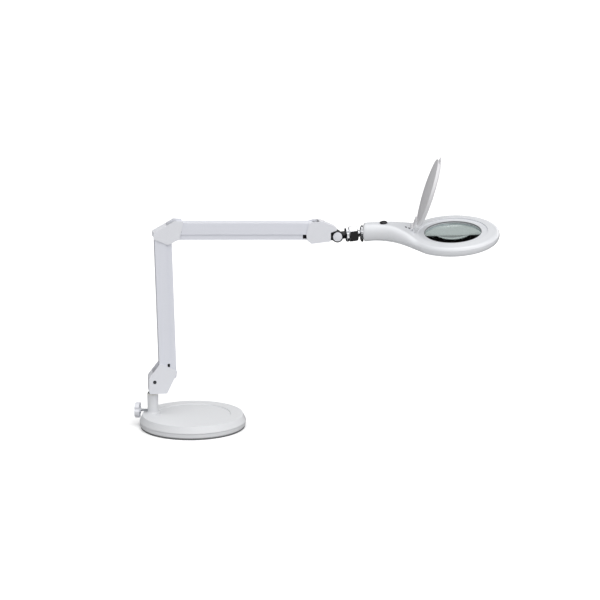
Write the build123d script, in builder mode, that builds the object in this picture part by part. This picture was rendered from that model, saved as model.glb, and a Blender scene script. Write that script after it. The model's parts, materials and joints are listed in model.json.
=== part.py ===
from build123d import *
import os
from math import cos, radians, sin, tan

# Magnifying lamp: weighted round base, swivelling parallelogram arm, and a round
# lit lens head on a tilting ball-joint knuckle. Millimetres, +Z up, origin at the
# centre of the base's underside, +X along the arm towards the head.

# ---- shared clearances and stock -------------------------------------------
running_clearance = 0.05       # radial, a pin turning in its hole
seat_gap = 0.2                 # face to face, pieces fastened together
moving_gap = 0.5               # face to face, pieces that slide past each other
pivot_pin_radius = 3.0

# ---- base -------------------------------------------------------------------
base_radius = 115.0
base_top_radius = base_radius - 6.5
base_height = 28.0
base_seam_height = 12.8        # cover above, tray below
base_wall = 2.2
tray_floor = 1.6
pad_thickness = 3.0
pad_inset = 2.5
recess_radius = base_radius - 34.0
recess_depth = 2.2
ballast_radius = base_radius - 12.0
ballast_thickness = 17.0
base_screw_circle = base_radius - 23.0
base_screw_radius = 2.5
base_screw_count = 4

# ---- socket column and its clamp ---------------------------------------------
column_offset = base_radius - 28.0  # column axis from the base's centre
socket_turn = 13.0             # degrees between the base's line and the arm
column_radius = 11.75
column_height = 41.0           # above the base's top
column_foot_radius = 15.0
column_foot_blend = 3.0
column_tail_radius = 9.0
column_tail_length = 18.0
bush_flange_radius = 12.4
bush_flange_thickness = 2.6
bush_wall = 2.4
swivel_pin_radius = 6.5
washer_radius = 10.5
washer_thickness = 1.6
clamp_height = 5.2             # clamp axis above the base's top
clamp_shank_radius = 3.0
clamp_shank_length = 18.0
clamp_tip_radius = 2.6
clamp_tip_length = 4.0
clamp_travel = 2.5             # how far the tip backs off the pin
knob_radius = 17.0
knob_thickness = 10.0
knob_lobes = 5
knob_notch_radius = 3.6

# ---- arm links: an outer channel with a narrower inner channel nested in it -----
arm_width = 34.0
outer_wall = 1.5
outer_web_reach = 12.2         # outer pivot line to the outer channel's web face
outer_lip_reach = 12.8         # outer pivot line to the outer channel's lips
inner_wall = 1.2
inner_web_reach = 6.3
inner_lip_reach = 6.5
web_setback = 5.0              # both webs start this far along from their pivots
link_spacing = 17.85           # between the two pivot lines in the rest pose
lower_span = 299.0             # pivot to pivot
upper_span = 303.5
lower_lean = 1.3               # degrees the lower arm leans back at rest
upper_drop = 1.4               # degrees the upper arm slopes down at rest
lower_mid = 20.0               # degrees from rest to the middle of the lower travel
upper_mid = 7.5
spring_radius = 4.6
spring_wire_radius = 0.8
spring_pitch = 5.0
spring_turns = 24
spring_start = 34.0
anchor_radius = 2.4

# ---- housings: core plate between two side shells -------------------------------
core_width = arm_width - 10.0
core_pivot_radius = 9.0
core_inner_pivot_radius = 4.6
core_boss_radius = 6.0
shell_gap = 0.4                # arm side to shell inner face
shell_wall = 1.9
shell_seam = 0.1
shell_screw_radius = 1.6
shell_screw_head_radius = 4.0
shell_screw_head_height = 0.8
housing_corner = 4.0
end_corner = 2.0
region_reach = 60.0            # well past a housing's edge, to bound where its rim stands
bracket_back = 8.7             # back face, behind the column axis
bracket_back_drop = 9.0        # back face's top, below the lower pivot
bracket_peak_back = 10.8
bracket_peak_rise = 22.3
bracket_nose_reach = 27.2
bracket_nose_rise = 4.5
bracket_chin = 3.0
bracket_rim_low = 17.5         # front rim stops this far below the lower pivot
bracket_rim_back = 2.5         # back rim stops this far above it
bracket_foot_radius = 8.0
bracket_foot_shift = 2.0
bracket_screw_x = 3.5
bracket_screw_rise = 26.0
inlet_back = 6.0
inlet_rise = 14.0
elbow_back = 14.8
elbow_back_low = 4.9
elbow_back_high = 8.4
elbow_crown_rise = 16.8
elbow_brow_reach = 19.5
elbow_brow_rise = 15.6
elbow_throat_reach = 10.0
elbow_throat_drop = 22.9
elbow_heel_reach = 16.0
elbow_heel_drop = 17.9
elbow_rim_rise = 7.6
elbow_rim_back = 17.0
end_tail_reach = 20.8
end_tail_low = 24.7
end_tail_middle = 12.7
end_tail_slope = 1.5
end_tail_top_reach = 14.8
end_tail_top = 12.2
end_crown_back = 2.0
end_crown_reach = 14.2
end_crown_rise = 15.2
end_nose_reach = 45.2
end_nose_rise = 1.5
end_nose_low = 14.8
end_throat_reach = 32.2
end_throat_rise = 10.4
end_throat_low = 8.8
end_chin_back = 9.8
end_chin_drop = 32.3
end_rim_start = 9.2
end_rim_stop = 27.5
end_block_reach = 22.2
end_block_radius = 7.0
end_screw_reach = 20.0
end_screw_drop = 8.0
end_cap_radius = 6.5
end_cap_height = 2.2
end_cap_taper = 25.0
lower_pivot_x = 26.8           # ahead of the column axis
lower_pivot_rise = 44.5        # above the bracket's underside
elbow_step_x = 30.5            # lower pivot to upper pivot, in the elbow
elbow_step_z = 16.5
grommet_radius = 5.5
grommet_bore = 3.0
grommet_length = 6.0

# ---- tilt and ball knuckle ------------------------------------------------------
tilt_x = 47.7                  # end pivot to tilt axis
tilt_drop = 19.2
tongue_width = 15.4
tongue_radius = 9.5
fork_radius = 12.4
fork_width = 27.0
tilt_cap_radius = 10.0
tilt_cap_thickness = 2.4
tilt_bolt_radius = 4.0
neck_pitch = 5.9               # degrees the neck points up at rest
neck_radius = 8.2
neck_length = 36.2             # tilt axis to ball centre
flange_radius = 15.5
flange_start = 19.7
flange_thickness = 7.0
nut_radius = 16.6
nut_flats = 29.5
nut_length = 18.8
ball_radius = 12.0
ball_half_length = 8.8
ball_gap = 0.3
ball_seat_wall = 1.4
stud_shank_radius = 4.45
stud_neck_radius = 7.5
stud_end = 34.0
nut_mouth_radius = 8.5
nut_mouth_angle = 19.0
ferrule_radius = 18.5
ferrule_start = 15.1
ferrule_end = 21.6

# ---- head -------------------------------------------------------------------------
head_pan = 12.0                # degrees turned out of the arm's plane at rest
head_pitch = 2.5
head_roll = 12.0
head_split = -8.0              # seam plane, from the head's axis
head_wall = 2.5
handle_start = 21.8
# six cuts across the handle from the collar to the ring: place along the head, half
# width, top and bottom from the head's axis, corner radius
collar_cut = dict(at=handle_start, half=20.0, top=22.5, bottom=-16.5, corner=17.0)
grip_cut = dict(at=50.0, half=21.5, top=23.0, bottom=-14.4, corner=16.0)
waist_cut = dict(at=85.0, half=27.0, top=20.0, bottom=-17.0, corner=15.0)
flare_cut = dict(at=110.0, half=39.5, top=13.0, bottom=-20.0, corner=14.0)
shoulder_cut = dict(at=130.0, half=57.0, top=5.2, bottom=-22.0, corner=12.0)
blend_cut = dict(at=150.0, half=75.0, top=-0.5, bottom=-22.0, corner=9.5)
lens_radius = 63.5
ring_radius = lens_radius + 36.5
lens_distance = ring_radius + 115.0  # ball centre to lens axis
ring_underside = -22.0
ring_top = 0.0
ring_edge_low = -14.0
ring_edge_high = -9.0
ring_shoulder_radius = ring_radius - 9.0
ring_shoulder_drop = 1.0
recess_wall_radius = lens_radius + 11.5
cover_seat = -3.0
lens_opening_radius = lens_radius - 1.9
lens_edge = 4.0
lens_sag = 5.0
retainer_radius = lens_radius + 3.5
lens_seat_gap = 0.5            # clears the curved faces at the lens's rim
window_inner = retainer_radius + 1.0
window_outer = ring_radius - 8.5
diffuser_thickness = 1.8
board_inner = window_inner + 2.0
board_outer = window_outer + 0.5
board_level = -14.0
board_thickness = 1.6
led_count = 36
led_size = 3.2
led_height = 1.0
button_station = 66.7
button_radius = 8.2
button_hole_clearance = 0.35
button_top = 25.6
button_length = 8.0
button_travel = 1.5            # how far the button goes in
switch_size = 11.0
switch_height = 6.0
driver_length = 58.0
driver_width = 22.0
hinge_station = 128.5
hinge_height = 10.5
hinge_pin_radius = 1.6
hinge_barrel_radius = 3.4
hinge_half_width = 13.0
hinge_ear = 3.5
cover_open = 70.0              # degrees at rest
cover_radius = recess_wall_radius - 1.5
cover_shoulder = 8.4           # height of the lid where its side meets its crown
cover_crown = 14.4
cover_round = 6.0
cover_wall = 2.2
cover_lift = -13.0             # closed cover's underside, from the hinge axis
cover_tab_length = 7.0
cover_tab_width = 22.0
cover_tab_thickness = 2.4
cover_tab_lift = 3.2           # tab's underside above the closed cover's, clear of the ring

# ---- places that follow from the sizes ----------------------------------------------
column_x = -column_offset * cos(radians(socket_turn))
column_y = column_offset * sin(radians(socket_turn))
column_top = base_height + column_height
bracket_bottom = column_top + bush_flange_thickness + washer_thickness + moving_gap + seat_gap
shell_inner = arm_width / 2 + shell_gap
shell_outer = shell_inner + shell_wall
trough_width = arm_width - 2 * outer_wall
inner_width = trough_width - 2 * moving_gap
inner_trough = inner_width - 2 * inner_wall

# every housing, pin and channel is drawn in the arm's own upright plane
arm_side = Plane(origin=(column_x, column_y, 0), x_dir=(1, 0, 0), z_dir=(0, -1, 0))


def step(point, length, angle):
    """The point that lies `length` away in a direction, inside the arm's plane."""
    return (point[0] + length * cos(radians(angle)), point[1] + length * sin(radians(angle)))


lower_angle = 90 + lower_lean
upper_angle = -upper_drop
lower_pair = link_spacing / cos(radians(lower_mid))
upper_pair = link_spacing / cos(radians(upper_mid))
lower_pair_angle = lower_angle - lower_mid - 90
upper_pair_angle = upper_angle + upper_mid - 90

bracket_outer = (lower_pivot_x, bracket_bottom + lower_pivot_rise)
bracket_inner = step(bracket_outer, lower_pair, lower_pair_angle)
elbow_low_outer = step(bracket_outer, lower_span, lower_angle)
elbow_low_inner = step(bracket_inner, lower_span, lower_angle)
elbow_up_outer = (elbow_low_outer[0] + elbow_step_x, elbow_low_outer[1] + elbow_step_z)
elbow_up_inner = step(elbow_up_outer, upper_pair, upper_pair_angle)
end_outer = step(elbow_up_outer, upper_span, upper_angle)
end_inner = step(elbow_up_inner, upper_span, upper_angle)
tilt_pivot = (end_outer[0] + tilt_x, end_outer[1] - tilt_drop)
ball_centre = step(tilt_pivot, neck_length, neck_pitch)


def in_space(point):
    """A point of the arm's plane as a point in space."""
    return Vector(column_x + point[0], column_y, point[1])


def arm_frame(pivot, angle):
    """Local X along the link, local Y towards the outer channel's web."""
    direction = (cos(radians(angle)), 0, sin(radians(angle)))
    return Plane(origin=in_space(pivot), x_dir=direction, z_dir=(0, -1, 0))


neck_frame = arm_frame(tilt_pivot, neck_pitch)

pan = radians(head_pan)
pitch = radians(head_pitch)
roll = radians(head_roll)
head_x = Vector(cos(pan) * cos(pitch), -sin(pan) * cos(pitch), sin(pitch))
level_y = Vector(sin(pan), cos(pan), 0)
head_z = head_x.cross(level_y) * cos(roll) - level_y * sin(roll)
head_frame = Plane(origin=in_space(ball_centre), x_dir=head_x, z_dir=head_z)
head_y = head_frame.y_dir


def head_point(along, across, up):
    """A point in space, given in the head's own directions from the ball centre."""
    return head_frame.origin + head_x * along + head_y * across + head_z * up


lens_side = Plane(origin=head_point(lens_distance, 0, 0), x_dir=head_x, z_dir=-head_y)
lens_axis = Axis(head_point(lens_distance, 0, 0), head_z)
neck_side = Plane(origin=neck_frame.origin, x_dir=neck_frame.x_dir, z_dir=(0, -1, 0))
neck_axis = Axis(neck_frame.origin, neck_frame.x_dir)
head_side = Plane(origin=head_frame.origin, x_dir=head_x, z_dir=-head_y)
head_axis = Axis(head_frame.origin, head_x)
clamp_direction = Vector(column_x, column_y, 0).normalized()
clamp_origin = Vector(column_x, column_y, base_height + clamp_height)


def clamp_plane(distance):
    """Across the clamp screw, `distance` out from the column's axis."""
    return Plane(origin=clamp_origin + clamp_direction * distance, z_dir=clamp_direction)


pieces = {}

# ================================ base ==================================================
base_axis = Axis.Z
cover_underside = base_height - base_wall - recess_depth
ballast_bottom = pad_thickness + tray_floor + seat_gap

with BuildPart() as base_pad:
    with BuildSketch():
        Circle(base_radius - pad_inset)
    extrude(amount=pad_thickness)
pieces["anti_slip_pad"] = base_pad

with BuildPart() as base_tray:
    with BuildSketch(Plane.XZ):
        with BuildLine():
            Polyline(
                (0, pad_thickness),
                (base_radius - pad_inset, pad_thickness),
                (base_radius, pad_thickness + pad_inset),
                (base_radius, base_seam_height - seat_gap),
                (base_radius - base_wall, base_seam_height - seat_gap),
                (base_radius - base_wall, pad_thickness + tray_floor + pad_inset),
                (base_radius - base_wall - pad_inset, pad_thickness + tray_floor),
                (0, pad_thickness + tray_floor),
                close=True,
            )
        make_face()
    revolve(axis=base_axis)
    with BuildSketch(Plane.XY.offset(pad_thickness)):
        with PolarLocations(base_screw_circle, base_screw_count, start_angle=45):
            Circle(base_screw_radius + seat_gap)
    extrude(amount=tray_floor, mode=Mode.SUBTRACT)
pieces["base_tray"] = base_tray

with BuildPart() as base_cover:
    with BuildSketch(Plane.XZ):
        with BuildLine():
            Polyline(
                (0, base_height - recess_depth),
                (recess_radius, base_height - recess_depth),
                (recess_radius + recess_depth / 2, base_height),
                (base_top_radius, base_height),
                (base_radius, base_seam_height),
                (base_radius - base_wall, base_seam_height),
                (base_top_radius - base_wall, cover_underside),
                (0, cover_underside),
                close=True,
            )
        make_face()
    revolve(axis=base_axis)
    with BuildSketch(Plane.XY.offset(cover_underside)):
        with Locations((column_x, column_y)):
            Circle(column_foot_radius + seat_gap)
    extrude(amount=base_height - cover_underside)
    with Locations((column_x, column_y, base_height)):
        Hole(column_tail_radius + seat_gap)
pieces["base_cover"] = base_cover

with BuildPart() as ballast:
    with BuildSketch(Plane.XY.offset(ballast_bottom)):
        Circle(ballast_radius)
        with Locations((column_x, column_y)):
            Circle(column_tail_radius + seat_gap, mode=Mode.SUBTRACT)
    extrude(amount=ballast_thickness)
    with BuildSketch(Plane.XY.offset(ballast_bottom)):
        with PolarLocations(base_screw_circle, base_screw_count, start_angle=45):
            Circle(base_screw_radius)
    extrude(amount=ballast_thickness / 2, mode=Mode.SUBTRACT)
pieces["ballast_weight"] = ballast

with BuildPart() as base_screws:
    with BuildSketch(Plane.XY.offset(pad_thickness)):
        with PolarLocations(base_screw_circle, base_screw_count, start_angle=45):
            Circle(base_screw_radius)
    extrude(amount=tray_floor + ballast_thickness / 2)
pieces["base_screws"] = base_screws

# ============================ socket column =============================================
bush_radius = swivel_pin_radius + running_clearance + bush_wall
bush_bottom = base_height + column_foot_blend
pin_bottom = bush_bottom + seat_gap

with BuildPart() as column:
    with BuildSketch(Plane.XY.offset(base_height)):
        with Locations((column_x, column_y)):
            Circle(column_foot_radius)
    extrude(amount=column_foot_blend, taper=45)
    with BuildSketch(Plane.XY.offset(base_height)):
        with Locations((column_x, column_y)):
            Circle(column_radius)
    extrude(amount=column_height)
    with BuildSketch(Plane.XY.offset(base_height)):
        with Locations((column_x, column_y)):
            Circle(column_tail_radius)
    extrude(amount=-column_tail_length)
    with BuildSketch(Plane.XY.offset(column_top)):
        with Locations((column_x, column_y)):
            Circle(bush_radius)
    extrude(amount=bush_bottom - column_top, mode=Mode.SUBTRACT)
    with BuildSketch(clamp_plane(0)):
        Circle(clamp_shank_radius + running_clearance)
    extrude(amount=column_foot_radius, mode=Mode.SUBTRACT)
pieces["socket_column"] = column

with BuildPart() as bush:
    with BuildSketch(Plane.XY.offset(bush_bottom)):
        with Locations((column_x, column_y)):
            Circle(bush_radius)
    extrude(amount=column_top - bush_bottom)
    with BuildSketch(Plane.XY.offset(column_top)):
        with Locations((column_x, column_y)):
            Circle(bush_flange_radius)
    extrude(amount=bush_flange_thickness)
    with BuildSketch(Plane.XY.offset(bush_bottom)):
        with Locations((column_x, column_y)):
            Circle(swivel_pin_radius + running_clearance)
    extrude(amount=column_height + bush_flange_thickness, mode=Mode.SUBTRACT)
    with BuildSketch(clamp_plane(0)):
        Circle(clamp_shank_radius + running_clearance)
    extrude(amount=column_foot_radius, mode=Mode.SUBTRACT)
pieces["swivel_bush"] = bush

# clamp screw: its tip presses on the swivel pin, its knob is turned by hand
tip_start = swivel_pin_radius + running_clearance
shank_start = tip_start + clamp_tip_length
knob_start = shank_start + clamp_shank_length

with BuildPart() as clamp_tip:
    with BuildSketch(clamp_plane(tip_start)):
        Circle(clamp_tip_radius)
    extrude(amount=clamp_tip_length)
pieces["clamp_tip"] = clamp_tip

with BuildPart() as clamp_shank:
    with BuildSketch(clamp_plane(shank_start)):
        Circle(clamp_shank_radius)
    extrude(amount=clamp_shank_length + knob_thickness / 2)
pieces["clamp_screw"] = clamp_shank

with BuildPart() as knob:
    with BuildSketch(clamp_plane(knob_start)):
        Circle(knob_radius)
        with PolarLocations(knob_radius, knob_lobes):
            Circle(knob_notch_radius, mode=Mode.SUBTRACT)
    extrude(amount=knob_thickness)
    with BuildSketch(clamp_plane(knob_start)):
        Circle(clamp_shank_radius)
    extrude(amount=knob_thickness / 2, mode=Mode.SUBTRACT)
pieces["clamp_knob"] = knob


# ============================ shared arm pieces ===========================================
def build_outer_channel(frame, span):
    """A channel whose side walls carry the outer pins and whose web faces outwards."""
    web_inside = outer_web_reach - outer_wall
    end_cut = 2 * outer_web_reach
    with BuildPart() as channel:
        with BuildSketch(frame):
            with Locations((span / 2, (outer_web_reach - outer_lip_reach) / 2)):
                Rectangle(span, outer_web_reach + outer_lip_reach)
            with Locations((0, 0), (span, 0)):
                Circle(outer_web_reach)
        extrude(amount=arm_width / 2, both=True)
        with BuildSketch(frame):
            with Locations((span / 2, web_inside - outer_web_reach - outer_lip_reach)):
                Rectangle(span * 2, 2 * (outer_web_reach + outer_lip_reach))
            with Locations((web_setback - end_cut, 0), (span - web_setback + end_cut, 0)):
                Rectangle(2 * end_cut, 2 * end_cut)
        extrude(amount=trough_width / 2, both=True, mode=Mode.SUBTRACT)
        with BuildSketch(frame):
            with Locations((0, 0), (span, 0)):
                Circle(pivot_pin_radius + running_clearance)
        extrude(amount=arm_width, both=True, mode=Mode.SUBTRACT)
    return channel


def build_inner_channel(frame, span):
    """The narrower channel nested in the outer one, its web on the arm's inner side."""
    web_inside = inner_web_reach - inner_wall
    end_cut = 2 * inner_web_reach
    with BuildPart() as channel:
        with BuildSketch(frame):
            with Locations((span / 2, (inner_lip_reach - inner_web_reach) / 2)):
                Rectangle(span, inner_web_reach + inner_lip_reach)
            with Locations((0, 0), (span, 0)):
                Circle(inner_web_reach)
        extrude(amount=inner_width / 2, both=True)
        with BuildSketch(frame):
            with Locations((span / 2, inner_web_reach + inner_lip_reach - web_inside)):
                Rectangle(span * 2, 2 * (inner_web_reach + inner_lip_reach))
            with Locations((web_setback - end_cut, 0), (span - web_setback + end_cut, 0)):
                Rectangle(2 * end_cut, 2 * end_cut)
        extrude(amount=inner_trough / 2, both=True, mode=Mode.SUBTRACT)
        with BuildSketch(frame):
            with Locations((0, 0), (span, 0)):
                Circle(pivot_pin_radius + running_clearance)
        extrude(amount=arm_width, both=True, mode=Mode.SUBTRACT)
    return channel


def build_spring(frame):
    """A balance spring along the outer channel, hooked to a cross pin in its walls."""
    length = spring_pitch * spring_turns
    along = frame.x_dir
    anchor_at = spring_start + length + spring_radius
    with BuildPart() as spring:
        with BuildLine():
            coil = Helix(
                pitch=spring_pitch,
                height=length,
                radius=spring_radius,
                center=frame.origin + along * spring_start,
                direction=along,
            )
        with BuildSketch(Plane(origin=coil @ 0, z_dir=coil % 0)):
            Circle(spring_wire_radius)
        sweep(path=coil, is_frenet=True)
        with BuildSketch(frame):
            with Locations((anchor_at, 0)):
                Circle(anchor_radius)
        extrude(amount=trough_width / 2, both=True)
    return spring


def build_pins(outer_pivots, inner_pivots):
    """Pins fixed in a core: long ones for outer channels, short ones for inner."""
    with BuildPart() as pins:
        with BuildSketch(arm_side):
            with Locations(*outer_pivots):
                Circle(pivot_pin_radius)
        extrude(amount=(arm_width + shell_gap) / 2, both=True)
        with BuildSketch(arm_side):
            with Locations(*inner_pivots):
                Circle(pivot_pin_radius)
        extrude(amount=(inner_width + shell_gap) / 2, both=True)
    return pins


def add_hull(circles, width):
    """Adds a plate in the arm's plane, drawn tight around some circles."""
    with BuildSketch(arm_side) as plate:
        for centre, radius in circles:
            with Locations(centre):
                Circle(radius)
        make_hull()
    extrude(plate.sketch, amount=width / 2, both=True)


def add_bosses_and_bores(outer_pivots, inner_pivots):
    """Bosses that space the channels off the core, then the bores for the pins."""
    with BuildSketch(arm_side) as outer_bosses:
        with Locations(*outer_pivots):
            Circle(core_boss_radius)
    extrude(outer_bosses.sketch, amount=trough_width / 2 - seat_gap, both=True)
    with BuildSketch(arm_side) as inner_bosses:
        with Locations(*inner_pivots):
            Circle(core_inner_pivot_radius)
    extrude(inner_bosses.sketch, amount=inner_trough / 2 - seat_gap, both=True)
    with BuildSketch(arm_side) as bores:
        with Locations(*outer_pivots, *inner_pivots):
            Circle(pivot_pin_radius)
    extrude(bores.sketch, amount=arm_width, both=True, mode=Mode.SUBTRACT)


def build_shell(outline, rim_region, corner, screw_points, hand):
    """One half of a housing: a side plate with a rim wall where no arm sweeps.

    hand is 1 for the half on -Y, which shows, and -1 for the half behind.
    """
    with BuildPart() as shell:
        with BuildSketch(arm_side.offset(hand * shell_inner)) as plate:
            Polygon(*outline, align=None)
            fillet(plate.vertices(), radius=corner)
        extrude(amount=hand * shell_wall)
        with BuildSketch(arm_side.offset(hand * shell_seam)) as rim:
            Polygon(*outline, align=None)
            fillet(rim.vertices(), radius=corner)
            offset(amount=-shell_wall, mode=Mode.SUBTRACT)
            Polygon(*rim_region, align=None, mode=Mode.INTERSECT)
        extrude(amount=hand * (shell_inner - shell_seam))
        with BuildSketch(arm_side.offset(hand * (core_width / 2 + seat_gap))):
            with Locations(*screw_points):
                Circle(shell_screw_head_radius)
        extrude(amount=hand * (shell_inner - core_width / 2 - seat_gap))
        with BuildSketch(arm_side):
            with Locations(*screw_points):
                Circle(shell_screw_radius)
        extrude(amount=hand * shell_outer, mode=Mode.SUBTRACT)
        with BuildSketch(arm_side.offset(hand * (shell_outer - shell_screw_head_height))):
            with Locations(*screw_points):
                Circle(shell_screw_head_radius)
        extrude(amount=hand * shell_screw_head_height, mode=Mode.SUBTRACT)
    return shell


def build_shell_screws(screw_points):
    """Cross screws through both shells and the core, heads sunk flush."""
    with BuildPart() as screws:
        with BuildSketch(arm_side):
            with Locations(*screw_points):
                Circle(shell_screw_radius)
        extrude(amount=shell_outer - shell_screw_head_height, both=True)
        for hand in (1, -1):
            with BuildSketch(arm_side.offset(hand * (shell_outer - shell_screw_head_height))):
                with Locations(*screw_points):
                    Circle(shell_screw_head_radius - seat_gap)
            extrude(amount=hand * shell_screw_head_height)
    return screws


def cut_screw_bores(screw_points):
    """Bores in a core for its shell screws."""
    with BuildSketch(arm_side) as bores:
        with Locations(*screw_points):
            Circle(shell_screw_radius)
    extrude(bores.sketch, amount=core_width, both=True, mode=Mode.SUBTRACT)


# ============================ swivel bracket ==============================================
bracket_screws = [(bracket_screw_x, bracket_bottom + bracket_screw_rise)]
bracket_foot = (bracket_foot_shift, bracket_bottom + shell_wall + bracket_foot_radius)
bracket_outline = [
    (-bracket_back, bracket_bottom),
    (-bracket_back, bracket_outer[1] - bracket_back_drop),
    (bracket_outer[0] - bracket_peak_back, bracket_outer[1] + bracket_peak_rise),
    (bracket_outer[0] + bracket_nose_reach, bracket_outer[1] + bracket_nose_rise),
    (bracket_outer[0] + bracket_chin, bracket_bottom),
]
bracket_rim = [
    (-region_reach, bracket_bottom - region_reach),
    (region_reach, bracket_bottom - region_reach),
    (region_reach, bracket_outer[1] - bracket_rim_low),
    (0, bracket_outer[1] - bracket_rim_low),
    (0, bracket_outer[1] + bracket_rim_back),
    (-region_reach, bracket_outer[1] + bracket_rim_back),
]
pin_top = bracket_bottom + bracket_foot_radius

with BuildPart() as swivel_pin:
    with BuildSketch(Plane.XY.offset(pin_bottom)):
        with Locations((column_x, column_y)):
            Circle(swivel_pin_radius)
    extrude(amount=pin_top - pin_bottom)
pieces["swivel_pin"] = swivel_pin

with BuildPart() as washer:
    with BuildSketch(Plane.XY.offset(bracket_bottom - seat_gap - washer_thickness)):
        with Locations((column_x, column_y)):
            Circle(washer_radius)
            Circle(swivel_pin_radius, mode=Mode.SUBTRACT)
    extrude(amount=washer_thickness)
pieces["swivel_washer"] = washer

with BuildPart() as bracket_core:
    add_hull([(bracket_outer, core_pivot_radius), (bracket_inner, core_inner_pivot_radius)], core_width)
    add_hull([(bracket_outer, core_pivot_radius), (bracket_foot, bracket_foot_radius)], core_width)
    add_bosses_and_bores([bracket_outer], [bracket_inner])
    cut_screw_bores(bracket_screws)
    with BuildSketch(Plane.XY.offset(bracket_bottom)):
        with Locations((column_x, column_y)):
            Circle(swivel_pin_radius)
    extrude(amount=bracket_foot_radius, mode=Mode.SUBTRACT)
pieces["bracket_core"] = bracket_core

inlet_at = (bracket_outer[0] - inlet_back, bracket_bottom + inlet_rise)
for hand, label in ((1, "bracket_shell_front"), (-1, "bracket_shell_back")):
    shell = build_shell(bracket_outline, bracket_rim, housing_corner, bracket_screws, hand)
    with BuildPart() as bracket_shell:
        add(shell.part)
        with BuildSketch(Plane.XY.offset(bracket_bottom - 1)):
            with Locations((column_x, column_y)):
                Circle(swivel_pin_radius + seat_gap)
        extrude(amount=shell_wall + 2, mode=Mode.SUBTRACT)
        if hand < 0:
            with BuildSketch(arm_side.offset(-shell_outer)):
                with Locations(inlet_at):
                    Circle(grommet_radius)
            extrude(amount=shell_wall + 1, mode=Mode.SUBTRACT)
    pieces[label] = bracket_shell

with BuildPart() as grommet:
    with BuildSketch(arm_side.offset(-shell_outer - grommet_length / 2)):
        with Locations(inlet_at):
            Circle(grommet_radius)
            Circle(grommet_bore, mode=Mode.SUBTRACT)
    extrude(amount=grommet_length)
pieces["inlet_grommet"] = grommet
pieces["bracket_pins"] = build_pins([bracket_outer], [bracket_inner])
pieces["bracket_screw"] = build_shell_screws(bracket_screws)

# ============================ lower arm ===================================================
lower_outer_frame = arm_frame(bracket_outer, lower_angle)
lower_inner_frame = arm_frame(bracket_inner, lower_angle)
pieces["lower_outer_channel"] = build_outer_channel(lower_outer_frame, lower_span)
pieces["lower_inner_channel"] = build_inner_channel(lower_inner_frame, lower_span)
pieces["lower_spring"] = build_spring(lower_outer_frame)

# ============================ elbow =======================================================
elbow_middle = ((elbow_low_outer[0] + elbow_up_outer[0]) / 2, (elbow_low_outer[1] + elbow_up_outer[1]) / 2)
elbow_screws = [elbow_middle]
elbow_outline = [
    (elbow_low_outer[0] - elbow_back, elbow_low_outer[1] - elbow_back_low),
    (elbow_low_outer[0] - elbow_back, elbow_low_outer[1] + elbow_back_high),
    (elbow_up_outer[0], elbow_up_outer[1] + elbow_crown_rise),
    (elbow_up_outer[0] + elbow_brow_reach, elbow_up_outer[1] + elbow_brow_rise),
    (elbow_up_outer[0] + elbow_throat_reach, elbow_up_outer[1] - elbow_throat_drop),
    (elbow_low_outer[0] + elbow_heel_reach, elbow_low_outer[1] - elbow_heel_drop),
]
elbow_rim = [
    (elbow_low_outer[0] - region_reach, elbow_low_outer[1] + elbow_rim_rise),
    (elbow_up_outer[0] - elbow_rim_back, elbow_low_outer[1] + elbow_rim_rise),
    (elbow_up_outer[0] - elbow_rim_back, elbow_up_outer[1] + region_reach),
    (elbow_low_outer[0] - region_reach, elbow_up_outer[1] + region_reach),
]

with BuildPart() as elbow_core:
    add_hull([(elbow_low_outer, core_pivot_radius), (elbow_up_outer, core_pivot_radius)], core_width)
    add_hull([(elbow_low_outer, core_pivot_radius), (elbow_low_inner, core_inner_pivot_radius)], core_width)
    add_hull([(elbow_up_outer, core_pivot_radius), (elbow_up_inner, core_inner_pivot_radius)], core_width)
    add_bosses_and_bores([elbow_low_outer, elbow_up_outer], [elbow_low_inner, elbow_up_inner])
    cut_screw_bores(elbow_screws)
pieces["elbow_core"] = elbow_core
pieces["elbow_shell_front"] = build_shell(elbow_outline, elbow_rim, housing_corner, elbow_screws, 1)
pieces["elbow_shell_back"] = build_shell(elbow_outline, elbow_rim, housing_corner, elbow_screws, -1)
pieces["elbow_pins"] = build_pins([elbow_low_outer, elbow_up_outer], [elbow_low_inner, elbow_up_inner])
pieces["elbow_screw"] = build_shell_screws(elbow_screws)

# ============================ upper arm ===================================================
upper_outer_frame = arm_frame(elbow_up_outer, upper_angle)
upper_inner_frame = arm_frame(elbow_up_inner, upper_angle)
pieces["upper_outer_channel"] = build_outer_channel(upper_outer_frame, upper_span)
pieces["upper_inner_channel"] = build_inner_channel(upper_inner_frame, upper_span)
pieces["upper_spring"] = build_spring(upper_outer_frame)

# ============================ end housing =================================================
end_block = (end_outer[0] + end_block_reach, tilt_pivot[1])
end_screws = [(end_outer[0] + end_screw_reach, end_outer[1] - end_screw_drop)]
end_outline = [
    (end_outer[0] - end_tail_reach + end_tail_slope, end_outer[1] - end_tail_low),
    (end_outer[0] - end_tail_reach, end_outer[1] - end_tail_middle),
    (end_outer[0] - end_tail_top_reach, end_outer[1] + end_tail_top),
    (end_outer[0] - end_crown_back, end_outer[1] + end_crown_rise),
    (end_outer[0] + end_crown_reach, end_outer[1] + end_crown_rise),
    (end_outer[0] + end_nose_reach, end_outer[1] + end_nose_rise),
    (end_outer[0] + end_nose_reach, tilt_pivot[1] + end_nose_low),
    (end_outer[0] + end_throat_reach, tilt_pivot[1] + end_throat_rise),
    (end_outer[0] + end_throat_reach, tilt_pivot[1] - end_throat_low),
    (end_outer[0] - end_chin_back, end_outer[1] - end_chin_drop),
]
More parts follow.
